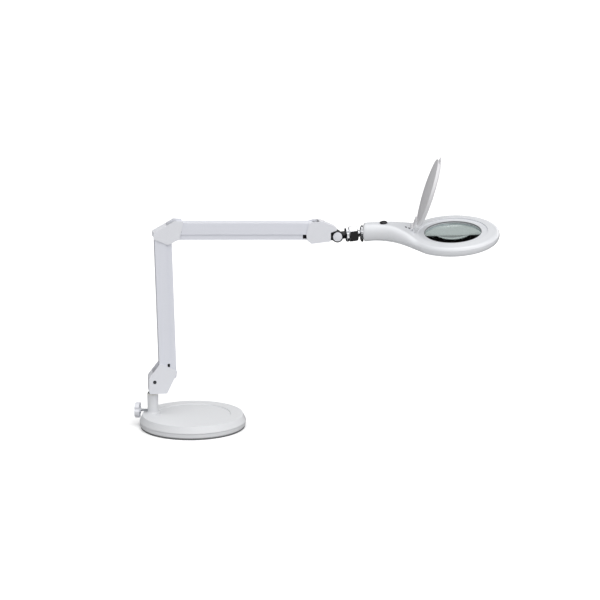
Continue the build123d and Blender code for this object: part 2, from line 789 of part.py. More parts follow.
end_rim = [
    (end_outer[0] + end_rim_start, end_outer[1] - region_reach),
    (end_outer[0] + end_rim_stop, end_outer[1] - region_reach),
    (end_outer[0] + end_rim_stop, tilt_pivot[1] + end_throat_rise),
    (end_outer[0] + region_reach, tilt_pivot[1] + end_throat_rise),
    (end_outer[0] + region_reach, end_outer[1] + region_reach),
    (end_outer[0] + end_rim_start, end_outer[1] + region_reach),
]
cap_at = (end_outer[0] + end_crown_reach, end_outer[1] + end_crown_rise)

with BuildPart() as end_core:
    add_hull([(end_outer, core_pivot_radius), (end_inner, core_inner_pivot_radius)], core_width)
    add_hull([(end_outer, core_pivot_radius), (end_block, end_block_radius)], core_width)
    add_hull([(end_block, end_block_radius), (tilt_pivot, tongue_radius)], tongue_width)
    add_bosses_and_bores([end_outer], [end_inner])
    cut_screw_bores(end_screws)
    with BuildSketch(arm_side):
        with Locations(tilt_pivot):
            Circle(tilt_bolt_radius + running_clearance)
    extrude(amount=tongue_width, both=True, mode=Mode.SUBTRACT)
pieces["end_core"] = end_core
pieces["end_shell_front"] = build_shell(end_outline, end_rim, end_corner, end_screws, 1)
pieces["end_shell_back"] = build_shell(end_outline, end_rim, end_corner, end_screws, -1)
pieces["end_pins"] = build_pins([end_outer], [end_inner])
pieces["end_screw"] = build_shell_screws(end_screws)

with BuildPart() as end_cap:
    with BuildSketch(Plane.XY.offset(cap_at[1])):
        with Locations((column_x + cap_at[0], column_y)):
            Circle(end_cap_radius)
    extrude(amount=end_cap_height, taper=end_cap_taper)
pieces["end_top_cap"] = end_cap

# ============================ tilt knuckle and ball joint ==================================
tongue_gap = 0.3

with BuildPart() as fork:
    with BuildSketch(neck_side):
        Circle(fork_radius)
    extrude(amount=fork_width / 2, both=True)
    with BuildSketch(Plane(origin=neck_frame.origin, z_dir=neck_frame.x_dir)):
        Circle(neck_radius)
    extrude(amount=flange_start - seat_gap)
    with BuildSketch(neck_side):
        with Locations((tongue_radius + tongue_gap - 2 * fork_radius, 0)):
            Rectangle(4 * fork_radius, 4 * fork_radius)
    extrude(amount=tongue_width / 2 + tongue_gap, both=True, mode=Mode.SUBTRACT)
    with BuildSketch(neck_side):
        Circle(tilt_bolt_radius)
    extrude(amount=fork_width, both=True, mode=Mode.SUBTRACT)
pieces["tilt_fork"] = fork

with BuildPart() as tilt_bolt:
    with BuildSketch(neck_side):
        Circle(tilt_bolt_radius)
    extrude(amount=fork_width / 2, both=True)
pieces["tilt_bolt"] = tilt_bolt

with BuildPart() as tilt_caps:
    for hand in (1, -1):
        with BuildSketch(neck_side.offset(hand * fork_width / 2)):
            Circle(tilt_cap_radius)
        extrude(amount=hand * tilt_cap_thickness, taper=20)
pieces["tilt_caps"] = tilt_caps

flange_end = flange_start + flange_thickness
nut_start = flange_end + seat_gap
cavity_radius = ball_radius + ball_gap


def neck_plane(distance):
    """Across the neck, `distance` from the tilt axis."""
    return Plane(origin=neck_frame.origin + neck_frame.x_dir * distance, z_dir=neck_frame.x_dir)


with BuildPart() as flange:
    with BuildSketch(neck_plane(flange_start)):
        Circle(flange_radius)
    extrude(amount=flange_thickness)
    fillet(flange.edges().filter_by(GeomType.CIRCLE), radius=1.2)
    with BuildSketch(neck_side):
        with Locations((neck_length, 0)):
            Circle(cavity_radius)
        with Locations((neck_length, -2 * cavity_radius)):
            Rectangle(4 * cavity_radius, 4 * cavity_radius, mode=Mode.SUBTRACT)
    revolve(axis=neck_axis, mode=Mode.SUBTRACT)
pieces["knuckle_flange"] = flange

mouth_wide = nut_mouth_radius + nut_length * tan(radians(nut_mouth_angle))
with BuildPart() as nut:
    with BuildSketch(neck_plane(nut_start)):
        RegularPolygon(radius=nut_flats / 2, side_count=6, major_radius=False)
        Circle(nut_radius, mode=Mode.INTERSECT)
    extrude(amount=nut_length)
    with BuildSketch(neck_side):
        with BuildLine():
            Polyline(
                (nut_start, 0),
                (nut_start, cavity_radius + ball_seat_wall),
                (neck_length - seat_gap, cavity_radius + ball_seat_wall),
                (neck_length - seat_gap, nut_mouth_radius),
                (neck_length, nut_mouth_radius),
                (neck_length + nut_length, mouth_wide),
                (neck_length + nut_length, 0),
                close=True,
            )
        make_face()
    revolve(axis=neck_axis, mode=Mode.SUBTRACT)
    with BuildSketch(neck_side):
        with Locations((neck_length, 0)):
            Circle(cavity_radius)
        with Locations((neck_length, -2 * cavity_radius)):
            Rectangle(4 * cavity_radius, 4 * cavity_radius, mode=Mode.SUBTRACT)
    revolve(axis=neck_axis, mode=Mode.SUBTRACT)
pieces["clamp_nut"] = nut

with BuildPart() as seat:
    with BuildSketch(neck_plane(nut_start)):
        Circle(cavity_radius + ball_seat_wall - running_clearance)
    extrude(amount=neck_length - nut_start - 2 * seat_gap)
    with BuildSketch(neck_side):
        with Locations((neck_length, 0)):
            Circle(cavity_radius)
        with Locations((neck_length, -2 * cavity_radius)):
            Rectangle(4 * cavity_radius, 4 * cavity_radius, mode=Mode.SUBTRACT)
    revolve(axis=neck_axis, mode=Mode.SUBTRACT)
pieces["ball_seat"] = seat

with BuildPart() as ball:
    with BuildSketch(head_side):
        Circle(ball_radius)
        Rectangle(2 * ball_half_length, 4 * ball_radius, mode=Mode.INTERSECT)
        with Locations((0, -2 * ball_radius)):
            Rectangle(4 * ball_radius, 4 * ball_radius, mode=Mode.SUBTRACT)
        bore_radius = stud_shank_radius + running_clearance
        Rectangle(4 * ball_radius, 2 * bore_radius, mode=Mode.SUBTRACT)
    revolve(axis=head_axis)
pieces["joint_ball"] = ball


def head_plane(distance):
    """Across the head's axis, `distance` from the ball centre."""
    return Plane(origin=head_point(distance, 0, 0), x_dir=head_y, z_dir=head_x)


stud_shoulder = ball_half_length + ball_gap
with BuildPart() as stud:
    with BuildSketch(head_plane(-ball_half_length)):
        Circle(stud_shank_radius)
    extrude(amount=ball_half_length + stud_shoulder)
    with BuildSketch(head_plane(stud_shoulder)):
        Circle(stud_neck_radius)
    extrude(amount=stud_end - stud_shoulder)
pieces["head_stud"] = stud

ferrule_collar = 3.0
with BuildPart() as ferrule:
    with BuildSketch(head_side):
        with BuildLine():
            Polyline(
                (ferrule_start, stud_neck_radius + running_clearance),
                (ferrule_start, ferrule_radius - 2 * ferrule_collar),
                (ferrule_start + ferrule_collar, ferrule_radius),
                (ferrule_end, ferrule_radius),
                (ferrule_end, stud_neck_radius + running_clearance),
                close=True,
            )
        make_face()
    revolve(axis=head_axis)
pieces["ferrule"] = ferrule

# ============================ head shells ===================================================
def cut_across(at, half, top, bottom, corner, inset):
    """One rounded cut across the handle, drawn in by `inset`."""
    shift = inset if at == handle_start else 0
    place = Plane(origin=head_point(at + shift, 0, (top + bottom) / 2), x_dir=head_y, z_dir=head_x)
    with BuildSketch(place) as outline:
        RectangleRounded(2 * (half - inset), top - bottom - 2 * inset, corner - inset)
    return outline.sketch


def build_head_body(inset):
    """Handle and ring as one solid, drawn in by `inset` all round."""
    with BuildPart() as body:
        cuts = (collar_cut, grip_cut, waist_cut, flare_cut, shoulder_cut, blend_cut)
        loft([cut_across(**cut, inset=inset) for cut in cuts])
        with BuildSketch(lens_side):
            with BuildLine():
                Polyline(
                    (0, ring_underside + inset),
                    (ring_shoulder_radius, ring_underside + inset),
                    (ring_radius - inset, ring_edge_low),
                    (ring_radius - inset, ring_edge_high),
                    (ring_shoulder_radius, ring_top - ring_shoulder_drop - inset),
                    (recess_wall_radius + inset, ring_top - inset),
                    (0, ring_top - inset),
                    close=True,
                )
            make_face()
        revolve(axis=lens_axis)
    return body


head_outside = build_head_body(0)
head_inside = build_head_body(head_wall)


def cut_ring(inner, outer, low, high):
    """Cuts a round ring about the lens axis out of the part being built."""
    with BuildSketch(head_frame.offset(low)) as ring:
        with Locations((lens_distance, 0)):
            Circle(outer)
            if inner:
                Circle(inner, mode=Mode.SUBTRACT)
    extrude(ring.sketch, amount=high - low, mode=Mode.SUBTRACT)


seat_floor = 2.4
hinge_screw_radius = 1.8
hinge_screw_bottom = ring_top + 2.0
hinge_screw_reach = 20.0
hinge_screw_points = [(hinge_station - 18.0, 0), (hinge_station - 9.0, 0)]
with BuildPart() as upper_cavity:
    add(head_inside.part)
    cut_ring(0, retainer_radius + seat_gap, -60, 60)
    cut_ring(0, recess_wall_radius + head_wall, cover_seat - seat_floor, 60)

with BuildPart() as upper_shell:
    add(head_outside.part)
    add(upper_cavity.part, mode=Mode.SUBTRACT)
    split(bisect_by=head_frame.offset(head_split), keep=Keep.TOP)
    cut_ring(0, lens_opening_radius, -60, 60)
    cut_ring(0, recess_wall_radius, cover_seat, 60)
    with BuildSketch(head_frame):
        with Locations((button_station, 0)):
            Circle(button_radius + button_hole_clearance)
    extrude(amount=button_top + 20, mode=Mode.SUBTRACT)
    with BuildSketch(head_plane(0)):
        Circle(stud_neck_radius + running_clearance)
    extrude(amount=handle_start + 2 * head_wall, mode=Mode.SUBTRACT)
    with BuildSketch(head_frame.offset(hinge_screw_bottom)):
        with Locations(*hinge_screw_points):
            Circle(hinge_screw_radius)
    extrude(amount=hinge_screw_reach, mode=Mode.SUBTRACT)
pieces["head_upper_shell"] = upper_shell

with BuildPart() as lower_shell:
    add(head_outside.part)
    add(head_inside.part, mode=Mode.SUBTRACT)
    split(bisect_by=head_frame.offset(head_split - shell_seam), keep=Keep.BOTTOM)
    cut_ring(0, window_outer, -60, 60)
pieces["head_lower_shell"] = lower_shell

# ============================ lens and light ring ==============================================
lens_top = head_split - lens_seat_gap
lens_bottom = lens_top - lens_edge
lens_curve = (lens_radius ** 2 + lens_sag ** 2) / (2 * lens_sag)

with BuildPart() as lens:
    with BuildSketch(lens_side):
        with BuildLine():
            Line((0, lens_bottom - lens_sag), (0, lens_top + lens_sag))
            RadiusArc((0, lens_top + lens_sag), (lens_radius, lens_top), lens_curve)
            Line((lens_radius, lens_top), (lens_radius, lens_bottom))
            RadiusArc((lens_radius, lens_bottom), (0, lens_bottom - lens_sag), lens_curve)
        make_face()
    revolve(axis=lens_axis)
pieces["lens"] = lens

with BuildPart() as retainer:
    with BuildSketch(lens_side):
        with BuildLine():
            Polyline(
                (lens_opening_radius, ring_underside),
                (retainer_radius, ring_underside),
                (retainer_radius, head_split - seat_gap),
                (lens_radius + seat_gap, head_split - seat_gap),
                (lens_radius + seat_gap, lens_bottom - lens_seat_gap),
                (lens_opening_radius, lens_bottom - lens_seat_gap),
                close=True,
            )
        make_face()
    revolve(axis=lens_axis)
pieces["lens_retainer"] = retainer


def build_ring(inner, outer, low, thickness):
    """A flat ring about the lens axis."""
    with BuildPart() as ring:
        with BuildSketch(head_frame.offset(low)):
            with Locations((lens_distance, 0)):
                Circle(outer)
                Circle(inner, mode=Mode.SUBTRACT)
        extrude(amount=thickness)
    return ring


diffuser_outer = window_outer - seat_gap
diffuser_low = ring_underside + seat_gap
pieces["light_diffuser"] = build_ring(window_inner, diffuser_outer, diffuser_low, diffuser_thickness)
pieces["led_board"] = build_ring(board_inner, board_outer, board_level, board_thickness)

led_circle = (board_inner + board_outer) / 2
with BuildPart() as leds:
    with BuildSketch(head_frame.offset(board_level)):
        with Locations((lens_distance, 0)):
            with PolarLocations(led_circle, led_count):
                Rectangle(led_size, led_size)
    extrude(amount=-led_height)
pieces["leds"] = leds

# ============================ handle electronics ================================================
driver_level = head_split + shell_seam + 3.0
with BuildPart() as driver:
    with BuildSketch(head_frame.offset(driver_level)):
        with Locations((button_station, 0)):
            Rectangle(driver_length, driver_width)
    extrude(amount=board_thickness)
    with BuildSketch(head_frame.offset(driver_level + board_thickness)):
        with Locations((button_station, 0)):
            Rectangle(switch_size, switch_size)
    extrude(amount=switch_height)
pieces["driver_board"] = driver

with BuildPart() as button:
    with BuildSketch(head_frame.offset(button_top - button_length)):
        with Locations((button_station, 0)):
            Circle(button_radius)
    extrude(amount=button_length)
    fillet(button.edges().filter_by(GeomType.CIRCLE).sort_by(Axis(head_frame.origin, head_z))[-1], radius=1.6)
pieces["power_button"] = button

button_spring_bottom = driver_level + board_thickness + switch_height
button_spring_top = button_top - button_length
button_spring_radius = 3.2
button_spring_wire = 0.4
button_spring_turns = 5
button_spring_height = button_spring_top - button_spring_bottom - 4 * button_spring_wire
with BuildPart() as button_spring:
    with BuildLine():
        button_coil = Helix(
            pitch=button_spring_height / button_spring_turns,
            height=button_spring_height,
            radius=button_spring_radius,
            center=head_point(button_station, 0, button_spring_bottom + 2 * button_spring_wire),
            direction=head_z,
        )
    with BuildSketch(Plane(origin=button_coil @ 0, z_dir=button_coil % 0)):
        Circle(button_spring_wire)
    sweep(path=button_coil, is_frenet=True)
pieces["button_spring"] = button_spring

# ============================ lens cover and its hinge ============================================
hinge_origin = head_point(hinge_station, 0, hinge_height)
hinge_side = Plane(origin=hinge_origin, x_dir=head_x, z_dir=-head_y)
ear_inner = hinge_half_width + seat_gap
ear_foot = hinge_height + 3.5

with BuildPart() as hinge_bracket:
    for hand in (1, -1):
        with BuildSketch(hinge_side.offset(hand * ear_inner)):
            Circle(hinge_barrel_radius)
            with Locations((0, -ear_foot / 2)):
                Rectangle(2 * hinge_barrel_radius, ear_foot)
            Circle(hinge_pin_radius, mode=Mode.SUBTRACT)
        extrude(amount=hand * hinge_ear)
    add(head_outside.part, mode=Mode.SUBTRACT)
pieces["hinge_ears"] = hinge_bracket

with BuildPart() as hinge_pin:
    with BuildSketch(hinge_side):
        Circle(hinge_pin_radius)
    extrude(amount=ear_inner + hinge_ear, both=True)
pieces["hinge_pin"] = hinge_pin

with BuildPart() as hinge_screws:
    with BuildSketch(head_frame.offset(hinge_screw_bottom)):
        with Locations(*hinge_screw_points):
            Circle(hinge_screw_radius)
    extrude(amount=hinge_screw_reach)
    add(head_outside.part, mode=Mode.INTERSECT)
pieces["hinge_screws"] = hinge_screws

opening = radians(cover_open)
cover_x = head_x * cos(opening) + head_z * sin(opening)
cover_frame = Plane(origin=hinge_origin, x_dir=cover_x, z_dir=cover_x.cross(head_y))
cover_centre = lens_distance - hinge_station
cover_bottom = cover_frame.origin + cover_x * cover_centre + cover_frame.z_dir * cover_lift
cover_side = Plane(origin=cover_bottom, x_dir=cover_x, z_dir=-head_y)
cover_axis = Axis(cover_bottom, cover_frame.z_dir)


def build_lid(inset):
    """The round lid as one solid, upright side and low crown, drawn in by `inset`."""
    radius = cover_radius - inset
    shoulder = (radius, cover_shoulder - inset)
    crown = (0, cover_crown - inset)
    sagitta = cover_crown - cover_shoulder
    with BuildPart() as lid:
        with BuildSketch(cover_side) as profile:
            with BuildLine():
                Polyline(crown, (0, 0), (radius, 0), shoulder)
                RadiusArc(shoulder, crown, -(radius ** 2 + sagitta ** 2) / (2 * sagitta))
            make_face()
            fillet(profile.vertices().sort_by_distance(cover_side.from_local_coords(shoulder))[0],
                   radius=cover_round - inset)
        revolve(axis=cover_axis)
    return lid


post_length = 6.0
post_reach = cover_centre - cover_radius + post_length
strap_thickness = hinge_barrel_radius - 0.4
tab_length = cover_tab_length + cover_wall
with BuildPart() as cover:
    add(build_lid(0).part)
    with BuildSketch(cover_frame):
        with Locations((post_reach, 0)):
            Rectangle(post_length, 2 * hinge_half_width)
    extrude(amount=cover_lift + cover_wall)
    add(build_lid(cover_wall).part, mode=Mode.SUBTRACT)
    with BuildSketch(cover_frame.offset(cover_lift + cover_tab_lift)):
        with Locations((cover_centre + cover_radius - cover_wall + tab_length / 2, 0)):
            Rectangle(tab_length, cover_tab_width)
    extrude(amount=cover_tab_thickness)
    with BuildSketch(cover_frame.offset(-strap_thickness)):
        with Locations((post_reach / 2, 0)):
            Rectangle(post_reach, 2 * hinge_half_width)
    extrude(amount=strap_thickness)
    with BuildSketch(hinge_side):
        Circle(hinge_barrel_radius)
    extrude(amount=hinge_half_width, both=True)
    with BuildSketch(hinge_side):
        Circle(hinge_pin_radius + running_clearance)
    extrude(amount=hinge_half_width, both=True, mode=Mode.SUBTRACT)
pieces["lens_cover"] = cover

# ================================ export ======================================================
os.makedirs("parts", exist_ok=True)
for label, piece in pieces.items():
    piece.part.label = label
    export_step(piece.part, f"parts/{label}.step")
print(len(pieces), "pieces written")
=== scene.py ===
import json
import math

import bmesh
import bpy
from mathutils import Matrix, Vector


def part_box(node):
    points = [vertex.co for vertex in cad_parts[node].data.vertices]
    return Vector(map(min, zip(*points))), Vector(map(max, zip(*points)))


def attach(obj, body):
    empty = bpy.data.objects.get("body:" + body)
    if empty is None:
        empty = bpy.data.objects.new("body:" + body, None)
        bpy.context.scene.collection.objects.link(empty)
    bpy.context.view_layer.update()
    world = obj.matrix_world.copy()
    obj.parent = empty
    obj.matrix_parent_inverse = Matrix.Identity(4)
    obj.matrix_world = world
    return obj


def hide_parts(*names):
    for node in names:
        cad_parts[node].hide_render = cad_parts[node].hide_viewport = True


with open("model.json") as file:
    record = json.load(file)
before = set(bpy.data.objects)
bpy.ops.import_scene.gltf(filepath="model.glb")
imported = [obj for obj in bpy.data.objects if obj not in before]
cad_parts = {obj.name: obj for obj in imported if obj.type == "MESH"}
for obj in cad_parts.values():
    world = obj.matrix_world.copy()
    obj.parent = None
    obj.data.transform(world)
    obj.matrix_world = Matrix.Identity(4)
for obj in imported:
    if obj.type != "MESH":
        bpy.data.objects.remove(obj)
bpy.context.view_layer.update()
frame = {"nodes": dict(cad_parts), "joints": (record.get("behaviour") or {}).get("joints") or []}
nodes = frame["nodes"]
joints = {j["name"]: j for j in frame["joints"]}
mm = 0.001


# shader groups shared by the finishes
def newGroup(name, inputs, outputs):
    group = bpy.data.node_groups.new(name, "ShaderNodeTree")
    for label, kind, value in inputs:
        socket = group.interface.new_socket(name=label, in_out="INPUT", socket_type=kind)
        if value is not None:
            socket.default_value = value
    for label, kind in outputs:
        group.interface.new_socket(name=label, in_out="OUTPUT", socket_type=kind)
    return group, group.nodes.new("NodeGroupInput"), group.nodes.new("NodeGroupOutput")


def mathNode(tree, operation, first, second):
    node = tree.nodes.new("ShaderNodeMath")
    node.operation = operation
    for socket, value in zip(node.inputs, (first, second)):
        if isinstance(value, (int, float)):
            socket.default_value = value
        else:
            tree.links.new(value, socket)
    return node.outputs[0]


def noiseNode(tree, vector, scale, detail=3.0):
    node = tree.nodes.new("ShaderNodeTexNoise")
    node.inputs["Detail"].default_value = detail
    tree.links.new(vector, node.inputs["Vector"])
    if isinstance(scale, (int, float)):
        node.inputs["Scale"].default_value = scale
    else:
        tree.links.new(scale, node.inputs["Scale"])
    return node.outputs["Fac"]


def times(tree, first, second):
    return mathNode(tree, "MULTIPLY", first, second)


def plus(tree, first, second):
    return mathNode(tree, "ADD", first, second)


def minus(tree, first, second):
    return mathNode(tree, "SUBTRACT", first, second)


def makeGrainGroup():
    # fine surface relief: rounded bumps with a finer noise over them
    group, start, end = newGroup(
        "surfaceGrain",
        [("Vector", "NodeSocketVector", None), ("Scale", "NodeSocketFloat", 900.0),
         ("Depth", "NodeSocketFloat", 1.0)],
        [("Height", "NodeSocketFloat")])
    place, scale = start.outputs["Vector"], start.outputs["Scale"]
    cells = group.nodes.new("ShaderNodeTexVoronoi")
    cells.feature = "SMOOTH_F1"
    group.links.new(place, cells.inputs["Vector"])
    group.links.new(scale, cells.inputs["Scale"])
    finer = noiseNode(group, place, times(group, scale, 2.3))
    mixed = plus(group, times(group, cells.outputs["Distance"], 0.6), finer)
    group.links.new(times(group, mixed, start.outputs["Depth"]), end.inputs["Height"])
    return group


def makeToneGroup():
    # slow drift of lightness over a moulding, and a faint mottle
    group, start, end = newGroup(
        "toneDrift",
        [("Vector", "NodeSocketVector", None), ("Colour", "NodeSocketColor", (0.8, 0.8, 0.8, 1)),
         ("Amount", "NodeSocketFloat", 0.04), ("Scale", "NodeSocketFloat", 6.0)],
        [("Colour", "NodeSocketColor")])
    place, scale = start.outputs["Vector"], start.outputs["Scale"]
    slow = noiseNode(group, place, scale, 2.0)
    quick = noiseNode(group, place, times(group, scale, 14.0))
    both = plus(group, times(group, slow, 0.75), times(group, quick, 0.25))
    swing = times(group, minus(group, both, 0.5), start.outputs["Amount"])
    tint = group.nodes.new("ShaderNodeHueSaturation")
    group.links.new(start.outputs["Colour"], tint.inputs["Color"])
    group.links.new(plus(group, swing, 1.0), tint.inputs["Value"])
    group.links.new(tint.outputs["Color"], end.inputs["Colour"])
    return group


def makeHandlingGroup():
    # smudges and faint rubbing that change only the gloss
    group, start, end = newGroup(
        "handlingMarks",
        [("Vector", "NodeSocketVector", None), ("Base", "NodeSocketFloat", 0.4),
         ("Spread", "NodeSocketFloat", 0.1), ("Scale", "NodeSocketFloat", 24.0)],
        [("Roughness", "NodeSocketFloat")])
    place, scale = start.outputs["Vector"], start.outputs["Scale"]
    smudge = noiseNode(group, place, scale, 5.0)
    rub = noiseNode(group, place, times(group, scale, 9.0))
    blend = plus(group, times(group, smudge, 0.7), times(group, rub, 0.3))
    swing = times(group, minus(group, blend, 0.5), start.outputs["Spread"])
    group.links.new(plus(group, start.outputs["Base"], swing), end.inputs["Roughness"])
    return group


grainGroup = makeGrainGroup()
toneGroup = makeToneGroup()
handlingGroup = makeHandlingGroup()


def groupNode(tree, group, vector, **values):
    node = tree.nodes.new("ShaderNodeGroup")
    node.node_tree = group
    tree.links.new(vector, node.inputs["Vector"])
    for label, value in values.items():
        node.inputs[label].default_value = value
    return node


def makeFinish(name, colour, rough, spread=0.1, drift=0.04, driftScale=6.0, grain=900.0,
               relief=0.1, metal=0.0, coat=0.0, sockets=None):
    material = bpy.data.materials.new(name)
    material.use_nodes = True
    tree = material.node_tree
    shader = tree.nodes["Principled BSDF"]
    place = tree.nodes.new("ShaderNodeTexCoord").outputs["Object"]
    tone = groupNode(tree, toneGroup, place, Colour=(*colour, 1), Amount=drift, Scale=driftScale)
    marks = groupNode(tree, handlingGroup, place, Base=rough, Spread=spread)
    relieved = groupNode(tree, grainGroup, place, Scale=grain, Depth=1.0)
    bump = tree.nodes.new("ShaderNodeBump")
    bump.inputs["Strength"].default_value = relief
    bump.inputs["Distance"].default_value = 0.0002
    tree.links.new(tone.outputs["Colour"], shader.inputs["Base Color"])
    tree.links.new(marks.outputs["Roughness"], shader.inputs["Roughness"])
    tree.links.new(relieved.outputs["Height"], bump.inputs["Height"])
    tree.links.new(bump.outputs["Normal"], shader.inputs["Normal"])
    shader.inputs["Metallic"].default_value = metal
    shader.inputs["Coat Weight"].default_value = coat
    shader.inputs["Coat Roughness"].default_value = 0.12
    for label, value in (sockets or {}).items():
        shader.inputs[label].default_value = value
    return material


finishes = {
    "armPaint": makeFinish("armPaint", (0.80, 0.815, 0.88), 0.42, 0.12, grain=1400, relief=0.12),
    "shellWhite": makeFinish("shellWhite", (0.83, 0.84, 0.885), 0.40, 0.10, grain=2200, relief=0.10),
    "basePaint": makeFinish("basePaint", (0.77, 0.78, 0.80), 0.38, 0.12, grain=1100, relief=0.10),
    "castIron": makeFinish("castIron", (0.05, 0.05, 0.055), 0.75, 0.2, 0.5, 30, 700, 0.8, metal=0.6),
    "padRubber": makeFinish("padRubber", (0.16, 0.165, 0.17), 0.85, 0.12, 0.25, 20, 1500, 0.5),
    "zincSteel": makeFinish("zincSteel", (0.50, 0.51, 0.53), 0.32, 0.2, 0.2, 40, 900, 0.15, metal=1.0),
    "screwBlack": makeFinish("screwBlack", (0.03, 0.03, 0.035), 0.38, 0.15, 0.2, 30, 1500, 0.2, metal=0.7),
    "chromePlate": makeFinish("chromePlate", (0.80, 0.81, 0.83), 0.07, 0.06, 0.03, 20, 500, 0.02, metal=1.0),
    "knuckleBlack": makeFinish("knuckleBlack", (0.006, 0.006, 0.008), 0.30, 0.15, 0.2, 25, 1600, 0.15),
    "whiteNylon": makeFinish("whiteNylon", (0.82, 0.81, 0.77), 0.50, 0.1, 0.06, 20, 1800, 0.2),
    "turnedBrass": makeFinish("turnedBrass", (0.70, 0.50, 0.20), 0.28, 0.15, 0.1, 30, 800, 0.1, metal=1.0),
    "headWhite": makeFinish("headWhite", (0.84, 0.855, 0.885), 0.26, 0.10, 0.03, 5, 1800, 0.04, coat=0.25),
    "lidGrey": makeFinish("lidGrey", (0.80, 0.795, 0.815), 0.42, 0.12, 0.06, 8, 2000, 0.10),
    "glossBlack": makeFinish("glossBlack", (0.008, 0.008, 0.01), 0.22, 0.12, 0.2, 20, 1600, 0.08, coat=0.4),
    # the frosted window glows faintly with no lit LEDs behind it: a painted glow
    "frostedWindow": makeFinish("frostedWindow", (0.86, 0.88, 0.90), 0.55, 0.08, 0.04, 20, 2600, 0.25,
                                sockets={"Emission Color": (0.9, 0.95, 1, 1), "Emission Strength": 0.05}),
    "solderMask": makeFinish("solderMask", (0.80, 0.82, 0.80), 0.45, 0.1, 0.1, 60, 1800, 0.15),
    "ledPhosphor": makeFinish("ledPhosphor", (0.90, 0.78, 0.25), 0.5, 0.1, 0.1, 80, 2500, 0.2),
    "lensGlass": makeFinish("lensGlass", (0.84, 0.95, 0.93), 0.03, 0.02, 0.02, 3, 300, 0.004,
                            sockets={"Transmission Weight": 1.0, "IOR": 1.52}),
    "lensEdge": makeFinish("lensEdge", (0.13, 0.30, 0.25), 0.45, 0.1, 0.2, 12, 900, 0.2),
}
print("finishes made:", len(finishes))


# modelling helpers
def placement(origin, xAxis, zAxis):
    # local X and Z along two directions of the part, Y completes them
    x, z = Vector(xAxis).normalized(), Vector(zAxis).normalized()
    turn = Matrix((x, z.cross(x), z)).transposed().to_4x4()
    return Matrix.Translation(origin) @ turn


def lineFrame(origin, axis):
    side = Vector((0, 0, 1)) if abs(axis[2]) < 0.9 else Vector((1, 0, 0))
    across = (side - Vector(axis) * side.dot(Vector(axis))).normalized()
    return placement(origin, across, axis)


def spinProfile(bm, profile, steps=96):
    # a closed outline in radius and height, in millimetres, turned once round local Z
    made = [bm.verts.new((radius * mm, 0, height * mm)) for radius, height in profile]
    pairs = zip(made, made[1:] + made[:1])
    edges = [bm.edges.new(pair) for pair in pairs if max(v.co.x for v in pair) > 1e-9]
    bmesh.ops.spin(bm, geom=made + edges, axis=(0, 0, 1), cent=(0, 0, 0), steps=steps,
                   angle=2 * math.pi, use_merge=True)
    bmesh.ops.remove_doubles(bm, verts=bm.verts, dist=1e-6)
    bmesh.ops.recalc_face_normals(bm, faces=bm.faces)


def addRod(bm, radius, depth, segments=72):
    made = bmesh.ops.create_cone(bm, cap_ends=True, segments=segments, radius1=radius * mm,
                                 radius2=radius * mm, depth=depth * mm)
    return made["verts"]


def softenEdges(bm, width, segments=3, sharpest=32.0):
    limit = math.radians(sharpest)
    sharp = [e for e in bm.edges if len(e.link_faces) == 2 and e.calc_face_angle(0) > limit]
    bmesh.ops.bevel(bm, geom=sharp, offset=width, offset_type="OFFSET", affect="EDGES",
                    segments=segments, profile=0.5, material=-1, clamp_overlap=True)


def evenNormals(mesh):
    # weights each corner by face area so that flats stay flat beside rounded edges
    bm = bmesh.new()
    bm.from_mesh(mesh)
    found = [Vector((0, 0, 1))] * len(mesh.loops)
    areas = {f: f.calc_area() for f in bm.faces}
    for v in bm.verts:
        waiting = set(v.link_faces)
        while waiting:
            group, spread = [], [waiting.pop()]
            while spread:
                face = spread.pop()
                group.append(face)
                for e in face.edges:
                    if e.smooth and v in e.verts:
                        for other in e.link_faces:
                            if other in waiting:
                                waiting.discard(other)
                                spread.append(other)
            total = sum((f.normal * areas[f] for f in group), Vector())
            for f in group:
                for loop in f.loops:
                    if loop.vert == v:
                        found[loop.index] = total.normalized() if total.length > 0 else f.normal.copy()
    bm.free()
    mesh.normals_split_custom_set(found)


def shadeMesh(mesh, sharpest=32.0):
    mesh.shade_smooth()
    mesh.set_sharp_from_angle(angle=math.radians(sharpest))
    evenNormals(mesh)


def objectFrom(bm, name):
    mesh = bpy.data.meshes.new(name)
    bm.to_mesh(mesh)
    bm.free()
    piece = bpy.data.objects.new(name, mesh)
    bpy.context.scene.collection.objects.link(piece)
    return piece


def finishPiece(bm, name, body, finish, replaced=(), where=None, smooth=32.0):
    if where is not None:
        bmesh.ops.transform(bm, matrix=where, verts=bm.verts)
    piece = objectFrom(bm, name)
    shadeMesh(piece.data, smooth)
    piece.data.materials.append(finishes[finish])
    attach(piece, body)
    if replaced:
        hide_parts(*replaced)
    return piece


def cutWith(piece, cutter, operation="DIFFERENCE"):
    # leaves the cut in the mesh and removes the tool
    tool = piece.modifiers.new("cut", "BOOLEAN")
    tool.operation = operation
    tool.solver = "EXACT"
    tool.object = cutter
    bpy.context.view_layer.update()
    evaluated = piece.evaluated_get(bpy.context.evaluated_depsgraph_get())
    result = bpy.data.meshes.new_from_object(evaluated)
    piece.modifiers.clear()
    piece.data = result
    bpy.data.objects.remove(cutter)
    shadeMesh(result)


def cutterFrom(bm, where):
    bmesh.ops.transform(bm, matrix=where, verts=bm.verts)
    return objectFrom(bm, "cutter")


def spunPiece(profile, where, name, body, finish, replaced=(), soften=0.3, steps=96, segments=3):
    bm = bmesh.new()
    spinProfile(bm, profile, steps)
    if soften:
        softenEdges(bm, soften * mm, segments)
    return finishPiece(bm, name, body, finish, replaced, where)


